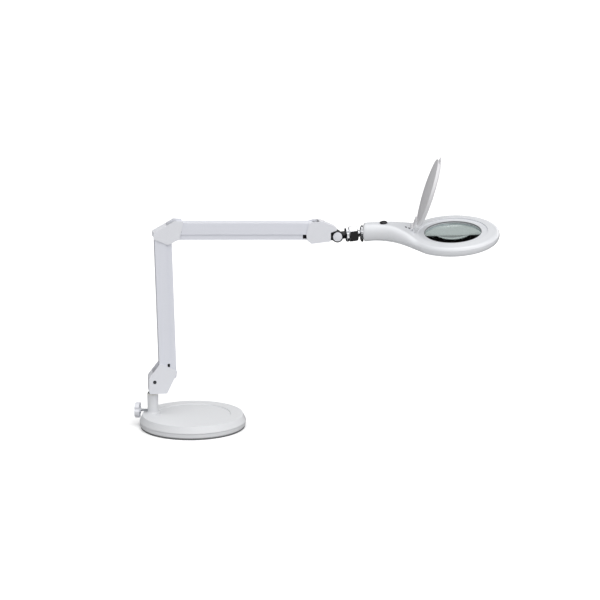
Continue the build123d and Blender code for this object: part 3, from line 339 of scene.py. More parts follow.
def softCopy(node, name, body, finish, width, segments=3, sharpest=38.0):
    # the node's own shape with its edges rounded as a moulding's or a fold's are
    bm = bmesh.new()
    bm.from_mesh(nodes[node].data)
    bmesh.ops.remove_doubles(bm, verts=bm.verts, dist=2e-6)
    bmesh.ops.dissolve_limit(bm, angle_limit=math.radians(0.4), verts=bm.verts, edges=bm.edges,
                             use_dissolve_boundaries=False)
    softenEdges(bm, width * mm, segments, sharpest)
    return finishPiece(bm, name, body, finish, [node])


def thicken(bm, depth):
    # draws a flat face out along local Z into a slab
    made = bmesh.ops.extrude_face_region(bm, geom=list(bm.faces))["geom"]
    lifted = [part for part in made if isinstance(part, bmesh.types.BMVert)]
    bmesh.ops.translate(bm, verts=lifted, vec=(0, 0, depth * mm))
    bmesh.ops.recalc_face_normals(bm, faces=bm.faces)


# places that the frame gives
def jointSpot(name):
    return Vector(joints[name]["pos_m"])


def jointAxis(name):
    return Vector(joints[name]["axis"])


columnLow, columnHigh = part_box("swivel_washer")
columnAxis = (columnLow + columnHigh) / 2
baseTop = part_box("base_cover")[1].z
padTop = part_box("anti_slip_pad")[1].z
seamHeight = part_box("base_tray")[1].z
upFrame = placement((0, 0, 0), (1, 0, 0), (0, 0, 1))
columnFrame = placement((columnAxis.x, columnAxis.y, 0), (1, 0, 0), (0, 0, 1))
ballSpot = jointSpot("head_roll")
headX = jointAxis("head_roll")
headZ = -jointAxis("button_press")
headFrame = placement(ballSpot, headX, headZ)
tiltSpot = jointSpot("head_tilt")
neckX = (ballSpot - tiltSpot).normalized()
neckFrame = lineFrame(tiltSpot, neckX)
hingeSpot = jointSpot("cover_open")
buttonLow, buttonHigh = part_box("power_button")
buttonFrame = placement((buttonLow + buttonHigh) / 2, headX, headZ)
sides = ((-1, "Front"), (1, "Back"))  # towards -Y and +Y

# weighted base; sizes are in millimetres, here and for every piece below
basePlate = {
    "recessRadius": 81.0, "recessDepth": 2.2, "recessSlope": 1.1, "topRadius": 108.5, "outerRadius": 115.0,
    "wall": 2.2, "lip": 1.6, "seamGap": 0.2, "coverRound": 0.8, "bossRadius": 15.6, "bossDepth": 3.0,
    "bossDrop": 0.02, "trayRadius": 114.0, "trayFloor": 1.6, "footInset": 2.5, "footRise": 2.2,
    "wellInset": 4.7, "wellRise": 4.1, "trayRound": 0.5, "steps": 160,
}


def buildBase():
    plate = basePlate
    top, seam, low = baseTop / mm, seamHeight / mm, padTop / mm
    floor, skirt = top - plate["recessDepth"], seam + plate["seamGap"]
    outer, inner = plate["outerRadius"], plate["outerRadius"] - plate["wall"]
    cover = [
        (0, floor), (plate["recessRadius"], floor), (plate["recessRadius"] + plate["recessSlope"], top),
        (plate["topRadius"], top), (outer, skirt + plate["lip"]), (outer, skirt), (inner, skirt),
        (plate["topRadius"] - plate["wall"], floor - plate["wall"]), (0, floor - plate["wall"]),
    ]
    bm = bmesh.new()
    spinProfile(bm, cover, plate["steps"])
    softenEdges(bm, plate["coverRound"] * mm, 4, 25)
    boss = addRod(bm, plate["bossRadius"], plate["bossDepth"])
    bossMiddle = baseTop - (plate["bossDepth"] / 2 + plate["bossDrop"]) * mm
    bmesh.ops.translate(bm, verts=boss, vec=(columnAxis.x, columnAxis.y, bossMiddle))
    finishPiece(bm, "baseCover", "base", "basePaint", ["base_cover"], smooth=40)
    tray = [
        (0, low), (outer - plate["footInset"], low), (plate["trayRadius"], low + plate["footRise"]),
        (plate["trayRadius"], seam), (inner, seam), (inner, low + plate["wellRise"]),
        (outer - plate["wellInset"], low + plate["trayFloor"]), (0, low + plate["trayFloor"]),
    ]
    spunPiece(tray, upFrame, "baseTray", "base", "basePaint", ["base_tray"],
              plate["trayRound"], plate["steps"])


buildBase()
print("base built")

# socket column, bush and clamp
socketColumn = {"radius": 11.75, "bore": 9.0, "footRadius": 15.0, "footHeight": 4.2, "footSteps": 6,
                "sink": 1.0}
swivelBush = {"bore": 6.55, "radius": 8.95, "collarRadius": 12.4, "depth": 30.0}
clampScrew = {"radius": 3.0, "point": 0.5, "threadDepth": 0.35, "pitch": 1.25, "plain": 1.5, "plainEnd": 6.0,
              "length": 20.0}
starKnob = {"radius": 17.0, "start": 18.0, "thickness": 10.0, "lobes": 5, "notch": 0.20, "sharpness": 5.0,
            "dish": ((3.2, 0.0), (1.0, -0.9)), "corner": 1.6}
knobHub = {"radius": 5.0, "chamfer": 0.8, "out": 1.6, "into": 3.0}


def buildColumn():
    column, bush = socketColumn, swivelBush
    foot, top = baseTop / mm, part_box("socket_column")[1].z / mm
    profile = [(column["bore"], foot - column["sink"]), (column["footRadius"], foot - column["sink"]),
               (column["footRadius"], foot)]
    for step in range(1, column["footSteps"] + 1):  # hollow curve from the foot up to the tube
        turn = math.radians(90 * step / column["footSteps"])
        spread = (column["footRadius"] - column["radius"]) * (1 - math.sin(turn))
        profile.append((column["radius"] + spread, foot + column["footHeight"] * (1 - math.cos(turn))))
    profile += [(column["radius"], top), (column["bore"], top)]
    spunPiece(profile, columnFrame, "socketColumn", "base", "basePaint", ["socket_column"], 0.4)
    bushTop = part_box("swivel_bush")[1].z / mm
    bushLow = top - bush["depth"]
    profile = [(bush["bore"], bushLow), (bush["radius"], bushLow), (bush["radius"], top),
               (bush["collarRadius"], top), (bush["collarRadius"], bushTop), (bush["bore"], bushTop)]
    spunPiece(profile, columnFrame, "swivelBush", "base", "whiteNylon", ["swivel_bush"], 0.5)


def buildClampScrew(where):
    screw = clampScrew
    radius, root = screw["radius"], screw["radius"] - screw["threadDepth"]
    profile = [(0, 0), (radius - screw["point"], 0), (radius, screw["point"]), (radius, screw["plain"])]
    height = screw["plain"]
    while height < screw["length"] - screw["plainEnd"]:
        profile += [(root, height + screw["pitch"] / 2), (radius, height + screw["pitch"])]
        height += screw["pitch"]
    profile += [(radius, screw["length"]), (0, screw["length"])]
    spunPiece(profile, where, "clampScrew", "clamp_screw", "zincSteel", ["clamp_screw"], 0, 48)


def buildClampKnob(where):
    knob, hub = starKnob, knobHub
    bm = bmesh.new()
    rim = bmesh.ops.create_circle(bm, cap_ends=True, segments=160, radius=knob["radius"] * mm)["verts"]
    for v in rim:  # a notch between each two rounded lobes
        around = math.atan2(v.co.y, v.co.x)
        dip = (0.5 + 0.5 * math.cos(knob["lobes"] * around)) ** knob["sharpness"]
        v.co.xy *= 1 - knob["notch"] * dip
    thicken(bm, knob["thickness"])
    caps = [f for f in bm.faces if len(f.verts) > 4]
    for inset, drop in knob["dish"]:  # a dished middle on both faces
        bmesh.ops.inset_region(bm, faces=caps, thickness=inset * mm, depth=drop * mm)
    softenEdges(bm, knob["corner"] * mm, 4, 60)
    bmesh.ops.translate(bm, verts=bm.verts, vec=(0, 0, knob["start"] * mm))
    finishPiece(bm, "clampKnob", "clamp_screw", "shellWhite", ["clamp_knob"], where, 40)
    low, high = knob["start"] - hub["out"], knob["start"] + hub["into"]
    profile = [(0, low), (hub["radius"] - hub["chamfer"], low), (hub["radius"], low + hub["chamfer"]),
               (hub["radius"], high), (0, high)]
    spunPiece(profile, where, "clampKnobHub", "clamp_screw", "shellWhite", (), 0.4, 64)


buildColumn()
clampFrame = lineFrame(jointSpot("clamp_turn"), jointAxis("clamp_turn"))
buildClampScrew(clampFrame)
buildClampKnob(clampFrame)
print("column and clamp built")

# arm channels and housings, on the bodies of the same names
channels = ("lower_outer", "lower_inner", "upper_outer", "upper_inner")
housings = ("bracket", "elbow", "end")
armEdges = {"fold": 0.55, "moulding": 0.7}
crossScrew = {"headRadius": 3.7, "plugRadius": 3.95, "height": 0.72, "neckRadius": 1.55, "neckLength": 3.0,
              "socketRadius": 2.0, "socketDepth": 0.9}


def pieceName(node):
    first, *rest = node.split("_")
    return first + "".join(word.capitalize() for word in rest)


def buildArms():
    for body in channels:
        node = f"{body}_channel"
        softCopy(node, pieceName(node), body, "armPaint", armEdges["fold"])
    for body in housings:
        for half in ("front", "back"):
            node = f"{body}_shell_{half}"
            softCopy(node, pieceName(node), body, "shellWhite", armEdges["moulding"], 4)


def buildCrossScrew(node, body, plugged):
    # a flush head with a hexagon socket at each end of the cross screw, or a plug over it
    screw = crossScrew
    low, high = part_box(node)
    wide = screw["plugRadius" if plugged else "headRadius"]
    slot, finish = ("shell_white", "shellWhite") if plugged else ("steel", "screwBlack")
    disc = [(0, -screw["neckLength"]), (screw["neckRadius"], -screw["neckLength"]), (screw["neckRadius"], 0),
            (wide, 0), (wide, screw["height"]), (0, screw["height"])]
    for hand, label in sides:
        face = (low + high) / 2
        face.y = (low.y if hand < 0 else high.y) - hand * screw["height"] * mm
        where = lineFrame(face, Vector((0, hand, 0)))
        head = spunPiece(disc, where, pieceName(node) + label, body, finish,
                         [node] if hand < 0 else (), 0.2, 48, 2)
        if plugged:
            continue
        socket = bmesh.new()
        addRod(socket, screw["socketRadius"], 2 * screw["socketDepth"], 6)
        bmesh.ops.translate(socket, verts=socket.verts, vec=(0, 0, screw["height"] * mm))
        cutWith(head, cutterFrom(socket, where))


buildArms()
buildCrossScrew("bracket_screw", "bracket", False)
buildCrossScrew("elbow_screw", "elbow", True)
buildCrossScrew("end_screw", "end", True)
print("arms and housings built")

# tilt knuckle and ball joint; starts and ends are distances from the tilt bolt or from the ball
tiltCap = {"radius": 10.0, "depth": 0.5, "rimHeight": 0.9, "height": 2.3}
neckFlange = {"radius": 15.5, "bore": 8.3, "start": 19.7, "end": 26.7, "chamfer": 1.2, "knurls": 60,
              "knurlDepth": 0.45}
clampNut = {"flats": 29.5, "corner": 16.6, "start": 26.9, "end": 45.7, "chamfer": 2.0, "faceInset": 0.6,
            "turn": 30.0, "mouthRadius": 8.5, "mouthEdge": 12.3, "mouthStart": 36.0}
headStud = {"radius": 7.5, "start": 9.1, "end": 34.0, "chamfer": 0.8, "groove": 0.7, "grooveStart": 13.2,
            "grooveEnd": 15.0}
ferruleRing = {"radius": 18.5, "start": 15.1, "end": 21.6, "rim": 0.9}
topCap = {"radius": 6.4, "sink": 1.5, "height": 1.0}


def buildTiltCaps():
    cap = tiltCap
    low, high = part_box("tilt_fork")
    radius, rim = cap["radius"], cap["rimHeight"]
    profile = [(0, -cap["depth"]), (radius, -cap["depth"]), (radius, rim), (radius - 0.6, rim + 0.7),
               (radius - 1.8, rim + 0.85), (radius - 2.2, rim + 0.6), (radius - 2.6, rim + 0.85),
               (6.0, rim + 1.15), (3.0, rim + 1.35), (0, cap["height"])]
    for hand, label in sides:
        face = Vector((tiltSpot.x, low.y if hand < 0 else high.y, tiltSpot.z))
        spunPiece(profile, lineFrame(face, Vector((0, hand, 0))), "tiltCap" + label, "knuckle",
                  "shellWhite", ["tilt_caps"] if hand < 0 else (), 0.15, 72)


def buildFlange():
    flange = neckFlange
    radius, start, end, chamfer = flange["radius"], flange["start"], flange["end"], flange["chamfer"]
    profile = [(flange["bore"], start), (radius - chamfer, start), (radius, start + chamfer),
               (radius, end - chamfer), (radius - chamfer, end), (flange["bore"], end)]
    bm = bmesh.new()
    spinProfile(bm, profile, 4 * flange["knurls"])
    edge = (radius - 0.1) * mm
    for v in bm.verts:  # straight knurling round the rim
        if v.co.xy.length > edge:
            ridge = 0.5 + 0.5 * math.cos(flange["knurls"] * math.atan2(v.co.y, v.co.x))
            v.co.xy *= 1 - flange["knurlDepth"] * mm * ridge / edge
    finishPiece(bm, "knuckleFlange", "knuckle", "chromePlate", ["knuckle_flange"], neckFrame)


def buildNut():
    nut = clampNut
    start, end, chamfer = nut["start"], nut["end"], nut["chamfer"]
    inscribed = nut["flats"] / 2
    bm = bmesh.new()
    addRod(bm, inscribed / math.cos(math.radians(30)), end - start, 6)
    bmesh.ops.rotate(bm, verts=bm.verts, matrix=Matrix.Rotation(math.radians(nut["turn"]), 3, "Z"))
    bmesh.ops.translate(bm, verts=bm.verts, vec=(0, 0, (start + end) / 2 * mm))
    softenEdges(bm, 0.35 * mm, 2)
    hexagon = finishPiece(bm, "clampNut", "knuckle", "chromePlate", ["clamp_nut"], neckFrame)
    turned = bmesh.new()  # the turning that leaves curved chamfers at the hexagon's corners
    barrel = [(nut["mouthRadius"], start - 1), (inscribed - nut["faceInset"], start),
              (nut["corner"], start + chamfer), (nut["corner"], end - chamfer),
              (inscribed - nut["faceInset"], end), (nut["mouthEdge"], end + 0.2),
              (nut["mouthRadius"], nut["mouthStart"])]
    spinProfile(turned, barrel)
    cutWith(hexagon, cutterFrom(turned, neckFrame), "INTERSECT")


def buildStud():
    stud, ring = headStud, ferruleRing
    along = lineFrame(ballSpot, headX)
    radius, waist = stud["radius"], stud["radius"] - stud["groove"]
    profile = [(0, stud["start"]), (radius - stud["chamfer"], stud["start"]),
               (radius, stud["start"] + stud["chamfer"]), (radius, stud["grooveStart"]),
               (waist, stud["grooveStart"] + 0.4), (waist, stud["grooveEnd"] - 0.4),
               (radius, stud["grooveEnd"]), (radius, stud["end"]), (0, stud["end"])]
    spunPiece(profile, along, "headStud", "head", "chromePlate", ["head_stud", "ferrule"], 0.15, 72)
    inner = ring["radius"] - ring["rim"]
    profile = [(radius, ring["start"]), (12.5, ring["start"]), (15.0, 15.9), (17.4, 17.4),
               (ring["radius"], 18.9), (ring["radius"], 20.4), (inner, 20.7), (inner, ring["end"]),
               (radius, ring["end"])]
    spunPiece(profile, along, "ferruleRing", "head", "chromePlate", (), 0.25)


def buildTopCap():
    cap = topCap
    low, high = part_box("end_top_cap")
    where = placement(((low.x + high.x) / 2, (low.y + high.y) / 2, low.z), (1, 0, 0), (0, 0, 1))
    radius = cap["radius"]
    profile = [(0, -cap["sink"]), (radius, -cap["sink"]), (radius, 0.1), (radius - 0.5, 0.5), (4.6, 0.8),
               (2.4, 0.95), (0, cap["height"])]
    spunPiece(profile, where, "endTopCap", "end", "lidGrey", ["end_top_cap"], 0.1, 64)


softCopy("tilt_fork", "tiltFork", "knuckle", "knuckleBlack", 0.8, 4)
buildTiltCaps()
buildFlange()
buildNut()
buildStud()
buildTopCap()
print("knuckle built")

# lens head: one smooth body split along a level seam; stations run from the ball towards the lens
headShape = {
    "lensDistance": 215.0, "seam": -8.0, "wall": 2.5, "ringRadius": 100.0, "joinAt": 150.0,
    "joinRun": (10, 10.5), "recess": 75.0, "seat": -3.0, "opening": 61.6, "innerStep": 67.2,
    "underSeat": -5.4, "window": 91.5, "topRound": 9.0, "lowRound": 8.2, "edgeRound": 0.45,
    "seamGap": 0.05, "lowSeamGap": 0.12,
    "dishDrop": 1.2, "dishEdge": 94.0, "dishRun": 22.0, "blendStart": 122.0, "blendRun": 30.0,
    "endRound": 5.0, "endRun": 20.0, "endWidth": 20.0, "taperStart": 60.0, "taperRun": 35.0,
    "buttonHole": 8.6, "count": 240, "arcSteps": 8, "innerSteps": 16, "curveSteps": 12, "ringSteps": 200,
    "stations": [21.8, 50.0, 85.0, 110.0, 130.0, 150.0, 400.0],
    "tops": [22.5, 23.0, 20.0, 13.0, 5.4, 0.2, 0.0],
    "bottoms": [-16.5, -14.4, -17.0, -20.0, -22.0, -22.0, -22.0],
    "rounds": [16.0, 16.0, 15.0, 14.0, 12.0, 9.5, 9.0],
    "side": [(21.8, 0.0), (21.8, 7.5), (21.8, 15.0), (23.3, 18.6), (27.0, 20.1), (50.0, 21.5), (70.0, 23.2),
             (84.0, 27.0), (97.0, 33.0), (110.0, 40.8), (122.0, 49.8), (136.0, 62.0), (150.0, 75.99)],
}


def smoothStep(value):
    value = min(1.0, max(0.0, value))
    return value * value * (3 - 2 * value)


def alongHead(values, distance):
    # a smooth run through the values at the head's stations, level at the far end
    spots = headShape["stations"]
    last = len(spots) - 2
    for i in range(last + 1):
        if distance <= spots[i + 1] or i == last:
            gap = spots[i + 1] - spots[i]
            t = min(1.0, max(0.0, (distance - spots[i]) / gap))
            before, after = max(i - 1, 0), min(i + 2, last + 1)
            slopeIn = (values[i + 1] - values[before]) / max(spots[i + 1] - spots[before], 1e-6) * gap
            slopeOut = (values[after] - values[i]) / max(spots[after] - spots[i], 1e-6) * gap
            if i == last:
                slopeIn = 0.0
            if i >= last - 1:
                slopeOut = 0.0
            return ((2 * t ** 3 - 3 * t ** 2 + 1) * values[i] + (t ** 3 - 2 * t ** 2 + t) * slopeIn
                    + (3 * t ** 2 - 2 * t ** 3) * values[i + 1] + (t ** 3 - t ** 2) * slopeOut)


def topHeight(station, side):
    head = headShape
    reach = math.hypot(station - head["lensDistance"], side)
    ring = -head["dishDrop"] + head["dishDrop"] * smoothStep((head["dishEdge"] - reach) / head["dishRun"])
    handle = alongHead(head["tops"], station)
    return handle + (ring - handle) * smoothStep((station - head["blendStart"]) / head["blendRun"])


def bottomHeight(station):
    return alongHead(headShape["bottoms"], station)


def curveBetween(before, start, end, after, share):
    # a smooth curve from start to end that heeds the point on either side
    return 0.5 * (2 * start + (end - before) * share + (2 * before - 5 * start + 4 * end - after) * share ** 2
                  + (3 * start - before - 3 * end + after) * share ** 3)


def headOutline():
    # the plan outline, evenly spaced, from the neck end round the ring and back
    head = headShape
    half = [Vector(point) for point in head["side"]]
    guides = half[:1] + half + [half[-1] + Vector(head["joinRun"])]
    fine = []
    for i in range(len(half) - 1):
        for k in range(head["curveSteps"]):
            fine.append(curveBetween(*guides[i:i + 4], k / head["curveSteps"]))
    start = math.acos((head["joinAt"] - head["lensDistance"]) / head["ringRadius"])
    for k in range(head["ringSteps"]):
        turn = start * (1 - k / (head["ringSteps"] - 1))
        fine.append(Vector((head["lensDistance"] + head["ringRadius"] * math.cos(turn),
                            head["ringRadius"] * math.sin(turn))))
    lengths = [0.0]
    for here, ahead in zip(fine, fine[1:]):
        lengths.append(lengths[-1] + (ahead - here).length)
    count = head["count"] // 2
    points = []
    at = 0
    for k in range(count + 1):
        target = lengths[-1] * k / count
        while at < len(fine) - 2 and lengths[at + 1] < target:
            at += 1
        share = (target - lengths[at]) / max(lengths[at + 1] - lengths[at], 1e-9)
        points.append(fine[at].lerp(fine[at + 1], share))
    return points + [Vector((p.x, -p.y)) for p in reversed(points[1:-1])]


outline = headOutline()


def inwardStep(i, ringRound):
    # how far and which way an outline point moves as the edge turns over
    head = headShape
    here = outline[i]
    run = (outline[(i + 1) % len(outline)] - outline[i - 1]).normalized()
    normal = Vector((run.y, -run.x))
    if normal.dot(Vector((head["lensDistance"], 0)) - here) < 0:
        normal = -normal
    rounding = ringRound if here.x > head["joinAt"] else alongHead(head["rounds"], here.x)
    endShare = smoothStep(1 - (here.x - head["stations"][0]) / head["endRun"])
    width = max(head["endWidth"], abs(here.y))
    tapered = Vector((head["endRound"] * endShare, -here.y * rounding / width))
    return tapered.lerp(normal * rounding, smoothStep((here.x - head["taperStart"]) / head["taperRun"]))


def turnedEdge(i, top):
    # an outline point's step inwards, and where that leads
    step = inwardStep(i, headShape["topRound" if top else "lowRound"])
    return step, outline[i] + step


def ringPoint(radius, turn):
    return Vector((headShape["lensDistance"] + radius * math.cos(turn), radius * math.sin(turn)))


def lensTurn(point):
    return math.atan2(point.y, point.x - headShape["lensDistance"])


def flatLoop(share, top, inset):
    # one loop between the turned edge at 0 and the opening at 1
    rim = headShape["recess" if top else "window"] + inset
    points = []
    for i in range(len(outline)):
        inner = turnedEdge(i, top)[1]
        flat = inner.lerp(ringPoint(rim, lensTurn(inner)), share)
        height = topHeight(flat.x, flat.y) - inset if top else bottomHeight(flat.x) + inset
        points.append((flat.x, flat.y, height))
    return points


def circleLoop(radius, height):
    turns = [lensTurn(turnedEdge(i, True)[1]) for i in range(len(outline))]
    return [(*ringPoint(radius, turn), height) for turn in turns]


def seamTurn(i):
    # the angle at which the section passes the level seam
    top, low = alongHead(headShape["tops"], outline[i].x), bottomHeight(outline[i].x)
    rise = (headShape["seam"] - 0.5 * (top + low)) / (0.5 * (top - low))
    return math.asin(max(-0.95, min(0.95, rise)))


def arcPoint(i, turn, top, inset):
    edge = outline[i]
    step, inner = turnedEdge(i, top)
    roof, floor = alongHead(headShape["tops"], edge.x), bottomHeight(edge.x)
    middle = 0.5 * (roof + floor)
    if edge.x > headShape["taperStart"] and turn > 0:
        roof = topHeight(inner.x, inner.y)
    lean = step.normalized() * inset * max(math.cos(turn), 0.0)
    flat = edge + step * (1 - math.cos(turn)) + lean
    half = roof - middle if turn > 0 else middle - floor
    return (flat.x, flat.y, middle + (half - inset) * math.sin(turn))


def arcLoop(share, top, inset):
    # one loop round the turned edge, from the seam at 0 to the flat at 1
    goal = math.pi / 2 if top else -math.pi / 2
    starts = [seamTurn(i) for i in range(len(outline))]
    return [arcPoint(i, start + (goal - start) * share, top, inset) for i, start in enumerate(starts)]


def seamLoop(top, inset, height):
    return [(x, y, height) for x, y, _ in arcLoop(0, top, inset)]


def sideLoops(top, inset, edgeHeight, shares):
    # the loops on one side of the wall, from the seam towards the opening
    arc = [k / headShape["arcSteps"] for k in range(1, headShape["arcSteps"] + 1)]
    loops = [seamLoop(top, inset, edgeHeight)]
    loops += [arcLoop(share, top, inset) for share in arc]
    return loops + [flatLoop(share, top, inset) for share in shares]


def shellLoops(top, edgeHeight, opening=()):
    even = [k / headShape["innerSteps"] for k in range(1, headShape["innerSteps"] + 1)]
    shares = [(smoothStep(share) + share) / 2 for share in even]
    outside = sideLoops(top, 0.0, edgeHeight, shares)
    inside = sideLoops(top, headShape["wall"], edgeHeight, shares[1::2])
    return outside + list(opening) + inside[::-1]


def buildLoops(loops):
    # the first loop is a circle moved into place; each next one is extruded from the last
    bm = bmesh.new()
    ring = bmesh.ops.create_circle(bm, cap_ends=False, segments=len(outline), radius=1.0)["verts"]
    order = sorted(ring, key=lambda v: math.atan2(v.co.y, v.co.x) % (2 * math.pi))
    edges = firstEdges = list(bm.edges)
    for v, place in zip(order, loops[0]):
        v.co = Vector(place) * mm
    for loop in loops[1:]:
        made = bmesh.ops.extrude_edge_only(bm, edges=edges)["geom"]
        fresh = {part for part in made if isinstance(part, bmesh.types.BMVert)}
        following = {}
        for v in fresh:
            for e in v.link_edges:
                if e.other_vert(v) not in fresh:
                    following[e.other_vert(v)] = v
        order = [following[v] for v in order]
        for v, place in zip(order, loop):
            v.co = Vector(place) * mm
        made = [part for part in made if isinstance(part, bmesh.types.BMEdge)]
        edges = [e for e in made if fresh.issuperset(e.verts)]
    bmesh.ops.bridge_loops(bm, edges=firstEdges + edges)
    bmesh.ops.recalc_face_normals(bm, faces=bm.faces)
    softenEdges(bm, headShape["edgeRound"] * mm, 3, 42)
    return bm


def buildHead():
    head = headShape
    opening = [(head["recess"], head["seat"]), (head["opening"], head["seat"]),
               (head["opening"], head["seam"]), (head["innerStep"], head["seam"]),
               (head["innerStep"], head["underSeat"]), (head["recess"] + head["wall"], head["underSeat"])]
    upper = shellLoops(True, head["seam"] + head["seamGap"], [circleLoop(*ring) for ring in opening])
    shell = finishPiece(buildLoops(upper), "headUpperShell", "head", "headWhite",
                        ["head_upper_shell"], headFrame, 40)
    hole = bmesh.new()
    addRod(hole, head["buttonHole"], 30)
    cutWith(shell, cutterFrom(hole, buttonFrame))
    lower = shellLoops(False, head["seam"] - head["lowSeamGap"])
    finishPiece(buildLoops(lower), "headLowerShell", "head", "headWhite", ["head_lower_shell"],
                headFrame, 40)


buildHead()
print("head shells built")

# lens, light ring and button, heights in the head's own frame
lensFrame = headFrame @ Matrix.Translation((headShape["lensDistance"] * mm, 0, 0))
lensDisc = {"radius": 63.5, "edge": 4.0, "top": -8.5, "sag": 5.0, "curveSteps": 24, "rimRound": 0.3}
lensHolder = {"inner": 61.6, "outer": 67.0, "low": -22.0, "high": -8.2, "seatInner": 62.6, "seatOuter": 63.7,
              "seat": -13.0}
lightWindow = {"inner": 68.0, "outer": 91.3, "low": -21.8, "high": -20.0}
gasket = {"inner": 60.7, "outer": 61.7, "low": -4.6, "high": -2.7}
pushButton = {"radius": 8.2, "foot": -4.0, "shoulder": 2.5}
bezel = {"station": 66.7, "sink": 0.3, "inner": 8.5, "outer": 9.7, "low": 0.3, "high": 0.9}


def buildLens():
    lens = lensDisc
    top, low = lens["top"], lens["top"] - lens["edge"]
    curve = (lens["radius"] ** 2 + lens["sag"] ** 2) / (2 * lens["sag"])
    radii = [lens["radius"] * k / lens["curveSteps"] for k in range(lens["curveSteps"] + 1)]
    crown = [(radius, lens["sag"] - curve + math.sqrt(curve ** 2 - radius ** 2)) for radius in radii]
    profile = [(radius, top + rise) for radius, rise in crown]
    profile += [(radius, low - rise) for radius, rise in reversed(crown)]
    bm = bmesh.new()
    spinProfile(bm, profile, 144)
    softenEdges(bm, lens["rimRound"] * mm, 2, 50)
    glass = finishPiece(bm, "magnifierLens", "head", "lensGlass", ["lens"], lensFrame, 30)
    glass.data.materials.append(finishes["lensEdge"])
    for face in glass.data.polygons:  # the ground rim
        if abs(face.normal.dot(headZ)) < 0.3:
            face.material_index = 1


def buildLightRing():
    holder, window = lensHolder, lightWindow
    profile = [(holder["inner"], holder["low"]), (holder["outer"], holder["low"]),
               (holder["outer"], holder["high"]), (holder["seatOuter"], holder["high"]),
               (holder["seatOuter"], holder["seat"]), (holder["seatInner"], holder["seat"]),
               (holder["inner"], holder["seat"] - 0.6)]
    spunPiece(profile, lensFrame, "lensRetainer", "head", "headWhite", ["lens_retainer"],
              0.3, 144)
    profile = [(window["inner"], window["low"]), (window["outer"], window["low"]),
               (window["outer"], window["high"]), (window["inner"], window["high"])]
    # the diffuser's faint emission is a painted glow, not light from the LEDs
    spunPiece(profile, lensFrame, "lightDiffuser", "head", "frostedWindow", ["light_diffuser"],
              0.3, 144)


def buildGasket():
    # a thin dark seal round the lens opening
    inner, outer, high = gasket["inner"], gasket["outer"], gasket["high"]
    profile = [(inner, gasket["low"]), (outer, gasket["low"]), (outer, high - 0.2), (outer - 0.5, high),
               (inner + 0.1, high - 0.2)]
    spunPiece(profile, lensFrame, "lensGasket", "head", "padRubber", (), 0.1, 144)


def buildButton():
    button, ring = pushButton, bezel
    radius, shoulder = button["radius"], button["shoulder"]
    profile = [(0, button["foot"]), (radius, button["foot"]), (radius, shoulder),
               (radius - 0.5, shoulder + 0.9), (6.8, 3.8), (6.4, 3.8), (6.0, 3.55), (5.4, 3.5), (3.0, 3.3),
               (0, 3.2)]
    spunPiece(profile, buttonFrame, "powerButton", "button", "glossBlack", ["power_button"],
              0.12, 72)
    height = topHeight(ring["station"], 0) - ring["sink"]
    surface = placement(headFrame @ Vector((ring["station"] * mm, 0, height * mm)), headX, headZ)
    inner, outer, low, high = ring["inner"], ring["outer"], ring["low"], ring["high"]
    profile = [(inner, low), (outer, low), (outer, low + 0.25), (outer - 0.4, high), (inner + 0.2, high),
               (inner, high - 0.3)]
    spunPiece(profile, surface, "buttonBezel", "head", "headWhite", (), 0.1, 72)


# near-black blocks set in the gaps beside the housings stand in for the shadow there: painted shadow
shadowGapBlocks = {  # place from a pivot along X and Z, then length, height and how far out its faces are
    "bracketWearPad": ("bracket", "lower_inner_lean", (-10.4, 23.6), (5.0, 7.0), (17.03, 17.36)),
    "elbowWearPad": ("elbow", "upper_inner_lift", (10.4, 12.0), (4.5, 5.0), (17.03, 17.36)),
    "upperInnerPlug": ("upper_inner", "upper_inner_lift", (277.5, -5.6), (8.0, 9.6), (0, 15.2)),
}


def buildShadowGapBlocks():
    # black blocks at the housings' edges, a pair to each arm: painted shadow in the gaps there
    for name, (body, pivot, (along, up), (length, height), (inner, outer)) in shadowGapBlocks.items():
        for hand, label in sides:
            bm = bmesh.new()
            bmesh.ops.create_cube(bm, size=1.0)
            bmesh.ops.scale(bm, verts=bm.verts, vec=Vector((length, outer - inner, height)) * mm)
            softenEdges(bm, 0.1 * mm, 2)
            middle = Vector((along, hand * (inner + outer) / 2, up)) * mm
            bmesh.ops.translate(bm, verts=bm.verts, vec=jointSpot(pivot) + middle)
            finishPiece(bm, name + label, body, "knuckleBlack")


hingeEar = {"radius": 3.7, "spread": 0.55, "drop": 2.6, "thickness": 3.5, "corner": 0.7,
            "startsAt": {"Near": -16.7, "Far": 13.2}}
hingeScrew = {"stations": (114.5, 121.5), "radius": 2.5, "depth": 2.0, "height": 0.8}


def buildHingeEars():
    ear = hingeEar
    spot = headFrame.inverted() @ hingeSpot
    radius = ear["radius"] * mm
    for label, side in ear["startsAt"].items():
        bm = bmesh.new()
        arch = bmesh.ops.create_circle(bm, cap_ends=True, segments=48, radius=radius)["verts"]
        for v in arch:  # the lower half is drawn down into a spreading foot
            if v.co.y < 0:
                v.co.x *= 1.0 + ear["spread"] * min(1.0, -v.co.y / radius)
                v.co.y *= ear["drop"]
        thicken(bm, ear["thickness"])
        softenEdges(bm, ear["corner"] * mm, 3, 60)
        face = placement(headFrame @ Vector((spot.x, side * mm, spot.z)), headX, headZ.cross(headX))
        where = face @ Matrix.Rotation(math.pi, 4, "X") @ Matrix.Translation((0, 0, -ear["thickness"] * mm))
        finishPiece(bm, "hingeEar" + label, "head", "headWhite",
                    ["hinge_ears"] if label == "Near" else (), where, 45)


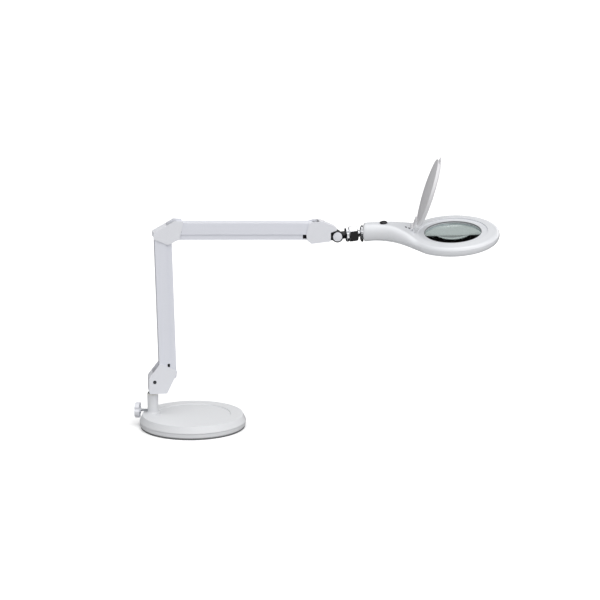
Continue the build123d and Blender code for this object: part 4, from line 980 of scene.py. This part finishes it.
def buildHingeScrews():
    screw = hingeScrew
    radius, high = screw["radius"], screw["height"]
    profile = [(0, -screw["depth"]), (radius, -screw["depth"]), (radius, 0.2), (radius - 0.4, high - 0.2),
               (1.2, high), (0.9, 0.2), (0, 0.1)]
    for k, station in enumerate(screw["stations"]):
        slope = (topHeight(station + 1, 0) - topHeight(station - 1, 0)) / 2
        spot = headFrame @ (Vector((station, 0, topHeight(station, 0))) * mm)
        where = placement(spot, headX + headZ * slope, headZ - headX * slope)
        spunPiece(profile, where, f"hingeScrew{k + 1}", "head", "screwBlack",
                  ["hinge_screws"] if k == 0 else (), 0.05, 36)


buildLens()
buildLightRing()
buildButton()
buildGasket()
buildShadowGapBlocks()
buildHingeEars()
buildHingeScrews()
softCopy("lens_cover", "lensCover", "cover", "lidGrey", 0.7, 3, 40)
print("lens, hinge and lid built")

# finishes on the CAD nodes that stay
keptFinish = {
    "anti_slip_pad": "padRubber", "ballast_weight": "castIron", "base_screws": "zincSteel",
    "clamp_tip": "turnedBrass", "swivel_pin": "zincSteel", "swivel_washer": "padRubber",
    "bracket_core": "screwBlack", "inlet_grommet": "padRubber", "bracket_pins": "zincSteel",
    "lower_spring": "zincSteel", "elbow_core": "screwBlack", "elbow_pins": "zincSteel",
    "upper_spring": "zincSteel", "end_core": "screwBlack", "end_pins": "zincSteel",
    "tilt_bolt": "zincSteel", "ball_seat": "whiteNylon", "joint_ball": "chromePlate",
    "led_board": "solderMask", "leds": "ledPhosphor", "driver_board": "solderMask",
    "button_spring": "zincSteel", "hinge_pin": "zincSteel",
}
for node, finish in keptFinish.items():
    nodes[node].data.materials.clear()
    nodes[node].data.materials.append(finishes[finish])
print("kept nodes finished:", len(keptFinish))

# studio: floor, air, sun and camera
studio = {
    "floorHalf": 40.0, "floorTone": 0.62, "floorGain": 1.25, "floorMirror": 0.03, "floorDrop": 0.0003,
    "sun": 2.1, "sunSpread": 90.0, "sunFrom": (0.22, -0.52, 1.2),
    "ambient": 0.45, "ambientFront": 0.18, "ambientRight": -0.05, "ambientUp": 0.04, "ambientLeast": 0.02,
    "mirrorDark": 0.02, "mirrorBright": 1.5, "mirrorBand": 7.0, "mirrorLean": 0.8, "mirrorEdge": 0.55,
}
cameraView = {"azimuth": -8.0, "elevation": 12.0, "depth": 4.338, "right": 0.2321, "up": 0.2729,
              "lens": 120.0}


def mirrorRay(tree, path):
    # 1 for a ray that a polished face sends back, 0 for one that went through the lens
    outsideGlass = minus(tree, 1.0, path.outputs["Is Transmission Ray"])
    return times(tree, path.outputs["Is Glossy Ray"], outsideGlass)


def paperShade(tree, grey):
    shade = tree.nodes.new("ShaderNodeBsdfDiffuse")
    shade.inputs["Color"].default_value = (grey, grey, grey, 1)
    return shade.outputs[0]


def mixShades(tree, share, first, second):
    mix = tree.nodes.new("ShaderNodeMixShader")
    for socket, value in zip(mix.inputs, (share, first, second)):
        tree.links.new(value, socket)
    return mix.outputs[0]


def buildFloor():
    bm = bmesh.new()
    bmesh.ops.create_grid(bm, x_segments=8, y_segments=8, size=studio["floorHalf"])
    mesh = bpy.data.meshes.new("floor")
    bm.to_mesh(mesh)
    bm.free()
    floor = bpy.data.objects.new("floor", mesh)
    bpy.context.scene.collection.objects.link(floor)
    floor.location.z = -studio["floorDrop"]
    material = bpy.data.materials.new("floorPaper")
    material.use_nodes = True
    tree = material.node_tree
    tree.nodes.clear()
    path = tree.nodes.new("ShaderNodeLightPath")
    # bright to the camera, plain to the light that it sends up, dark in polished metal
    around = mixShades(tree, mirrorRay(tree, path), paperShade(tree, studio["floorTone"]),
                       paperShade(tree, studio["floorMirror"]))
    seen = mixShades(tree, path.outputs["Is Camera Ray"], around, paperShade(tree, studio["floorGain"]))
    out = tree.nodes.new("ShaderNodeOutputMaterial")
    tree.links.new(seen, out.inputs["Surface"])
    mesh.materials.append(material)


def buildAir():
    world = bpy.data.worlds.new("studioAir")
    world.use_nodes = True
    tree = world.node_tree
    tree.nodes.clear()
    direction = tree.nodes.new("ShaderNodeSeparateXYZ")
    tree.links.new(tree.nodes.new("ShaderNodeTexCoord").outputs["Generated"], direction.inputs[0])
    right, back, up = direction.outputs
    light = times(tree, right, studio["ambientRight"])
    light = plus(tree, light, times(tree, back, -studio["ambientFront"]))
    light = plus(tree, light, times(tree, up, studio["ambientUp"]))
    light = plus(tree, light, studio["ambient"])
    # polished metal sees dark flats between bright strips, which gives it its streaks
    bands = mathNode(tree, "SINE", times(tree, up, studio["mirrorBand"]), 0)
    bands = plus(tree, bands, times(tree, right, studio["mirrorLean"]))
    strips = mathNode(tree, "GREATER_THAN", bands, studio["mirrorEdge"])
    streaks = plus(tree, times(tree, strips, studio["mirrorBright"]), studio["mirrorDark"])
    path = tree.nodes.new("ShaderNodeLightPath")
    mirrored = mirrorRay(tree, path)
    light = plus(tree, times(tree, light, minus(tree, 1.0, mirrored)), times(tree, streaks, mirrored))
    light = mathNode(tree, "MAXIMUM", light, studio["ambientLeast"])
    shown = mathNode(tree, "MAXIMUM", light, path.outputs["Is Camera Ray"])
    air = tree.nodes.new("ShaderNodeBackground")
    out = tree.nodes.new("ShaderNodeOutputWorld")
    tree.links.new(shown, air.inputs["Strength"])
    tree.links.new(air.outputs[0], out.inputs["Surface"])
    bpy.context.scene.world = world


def buildSun():
    lamp = bpy.data.lights.new("softSun", "SUN")
    lamp.energy = studio["sun"]
    lamp.angle = math.radians(studio["sunSpread"])
    sun = bpy.data.objects.new("softSun", lamp)
    bpy.context.scene.collection.objects.link(sun)
    sun.rotation_mode = "QUATERNION"
    sun.rotation_quaternion = (-Vector(studio["sunFrom"])).to_track_quat("-Z", "Y")


def buildCamera():
    view = cameraView
    turn, tilt = math.radians(view["azimuth"]), math.radians(view["elevation"])
    forward = Vector((-math.sin(turn) * math.cos(tilt), math.cos(turn) * math.cos(tilt), -math.sin(tilt)))
    right = Vector((math.cos(turn), math.sin(turn), 0))
    up = right.cross(forward)
    data = bpy.data.cameras.new("studioCamera")
    data.lens, data.sensor_width = view["lens"], 36.0
    data.clip_start, data.clip_end = 0.05, 200
    camera = bpy.data.objects.new("studioCamera", data)
    bpy.context.scene.collection.objects.link(camera)
    camera.location = -forward * view["depth"] + right * view["right"] + up * view["up"]
    camera.rotation_mode = "QUATERNION"
    camera.rotation_quaternion = Matrix((right, up, -forward)).transposed().to_quaternion()
    bpy.context.scene.camera = camera
    bpy.context.scene.view_settings.view_transform = "Standard"


buildFloor()
buildAir()
buildSun()
buildCamera()
print("studio built")
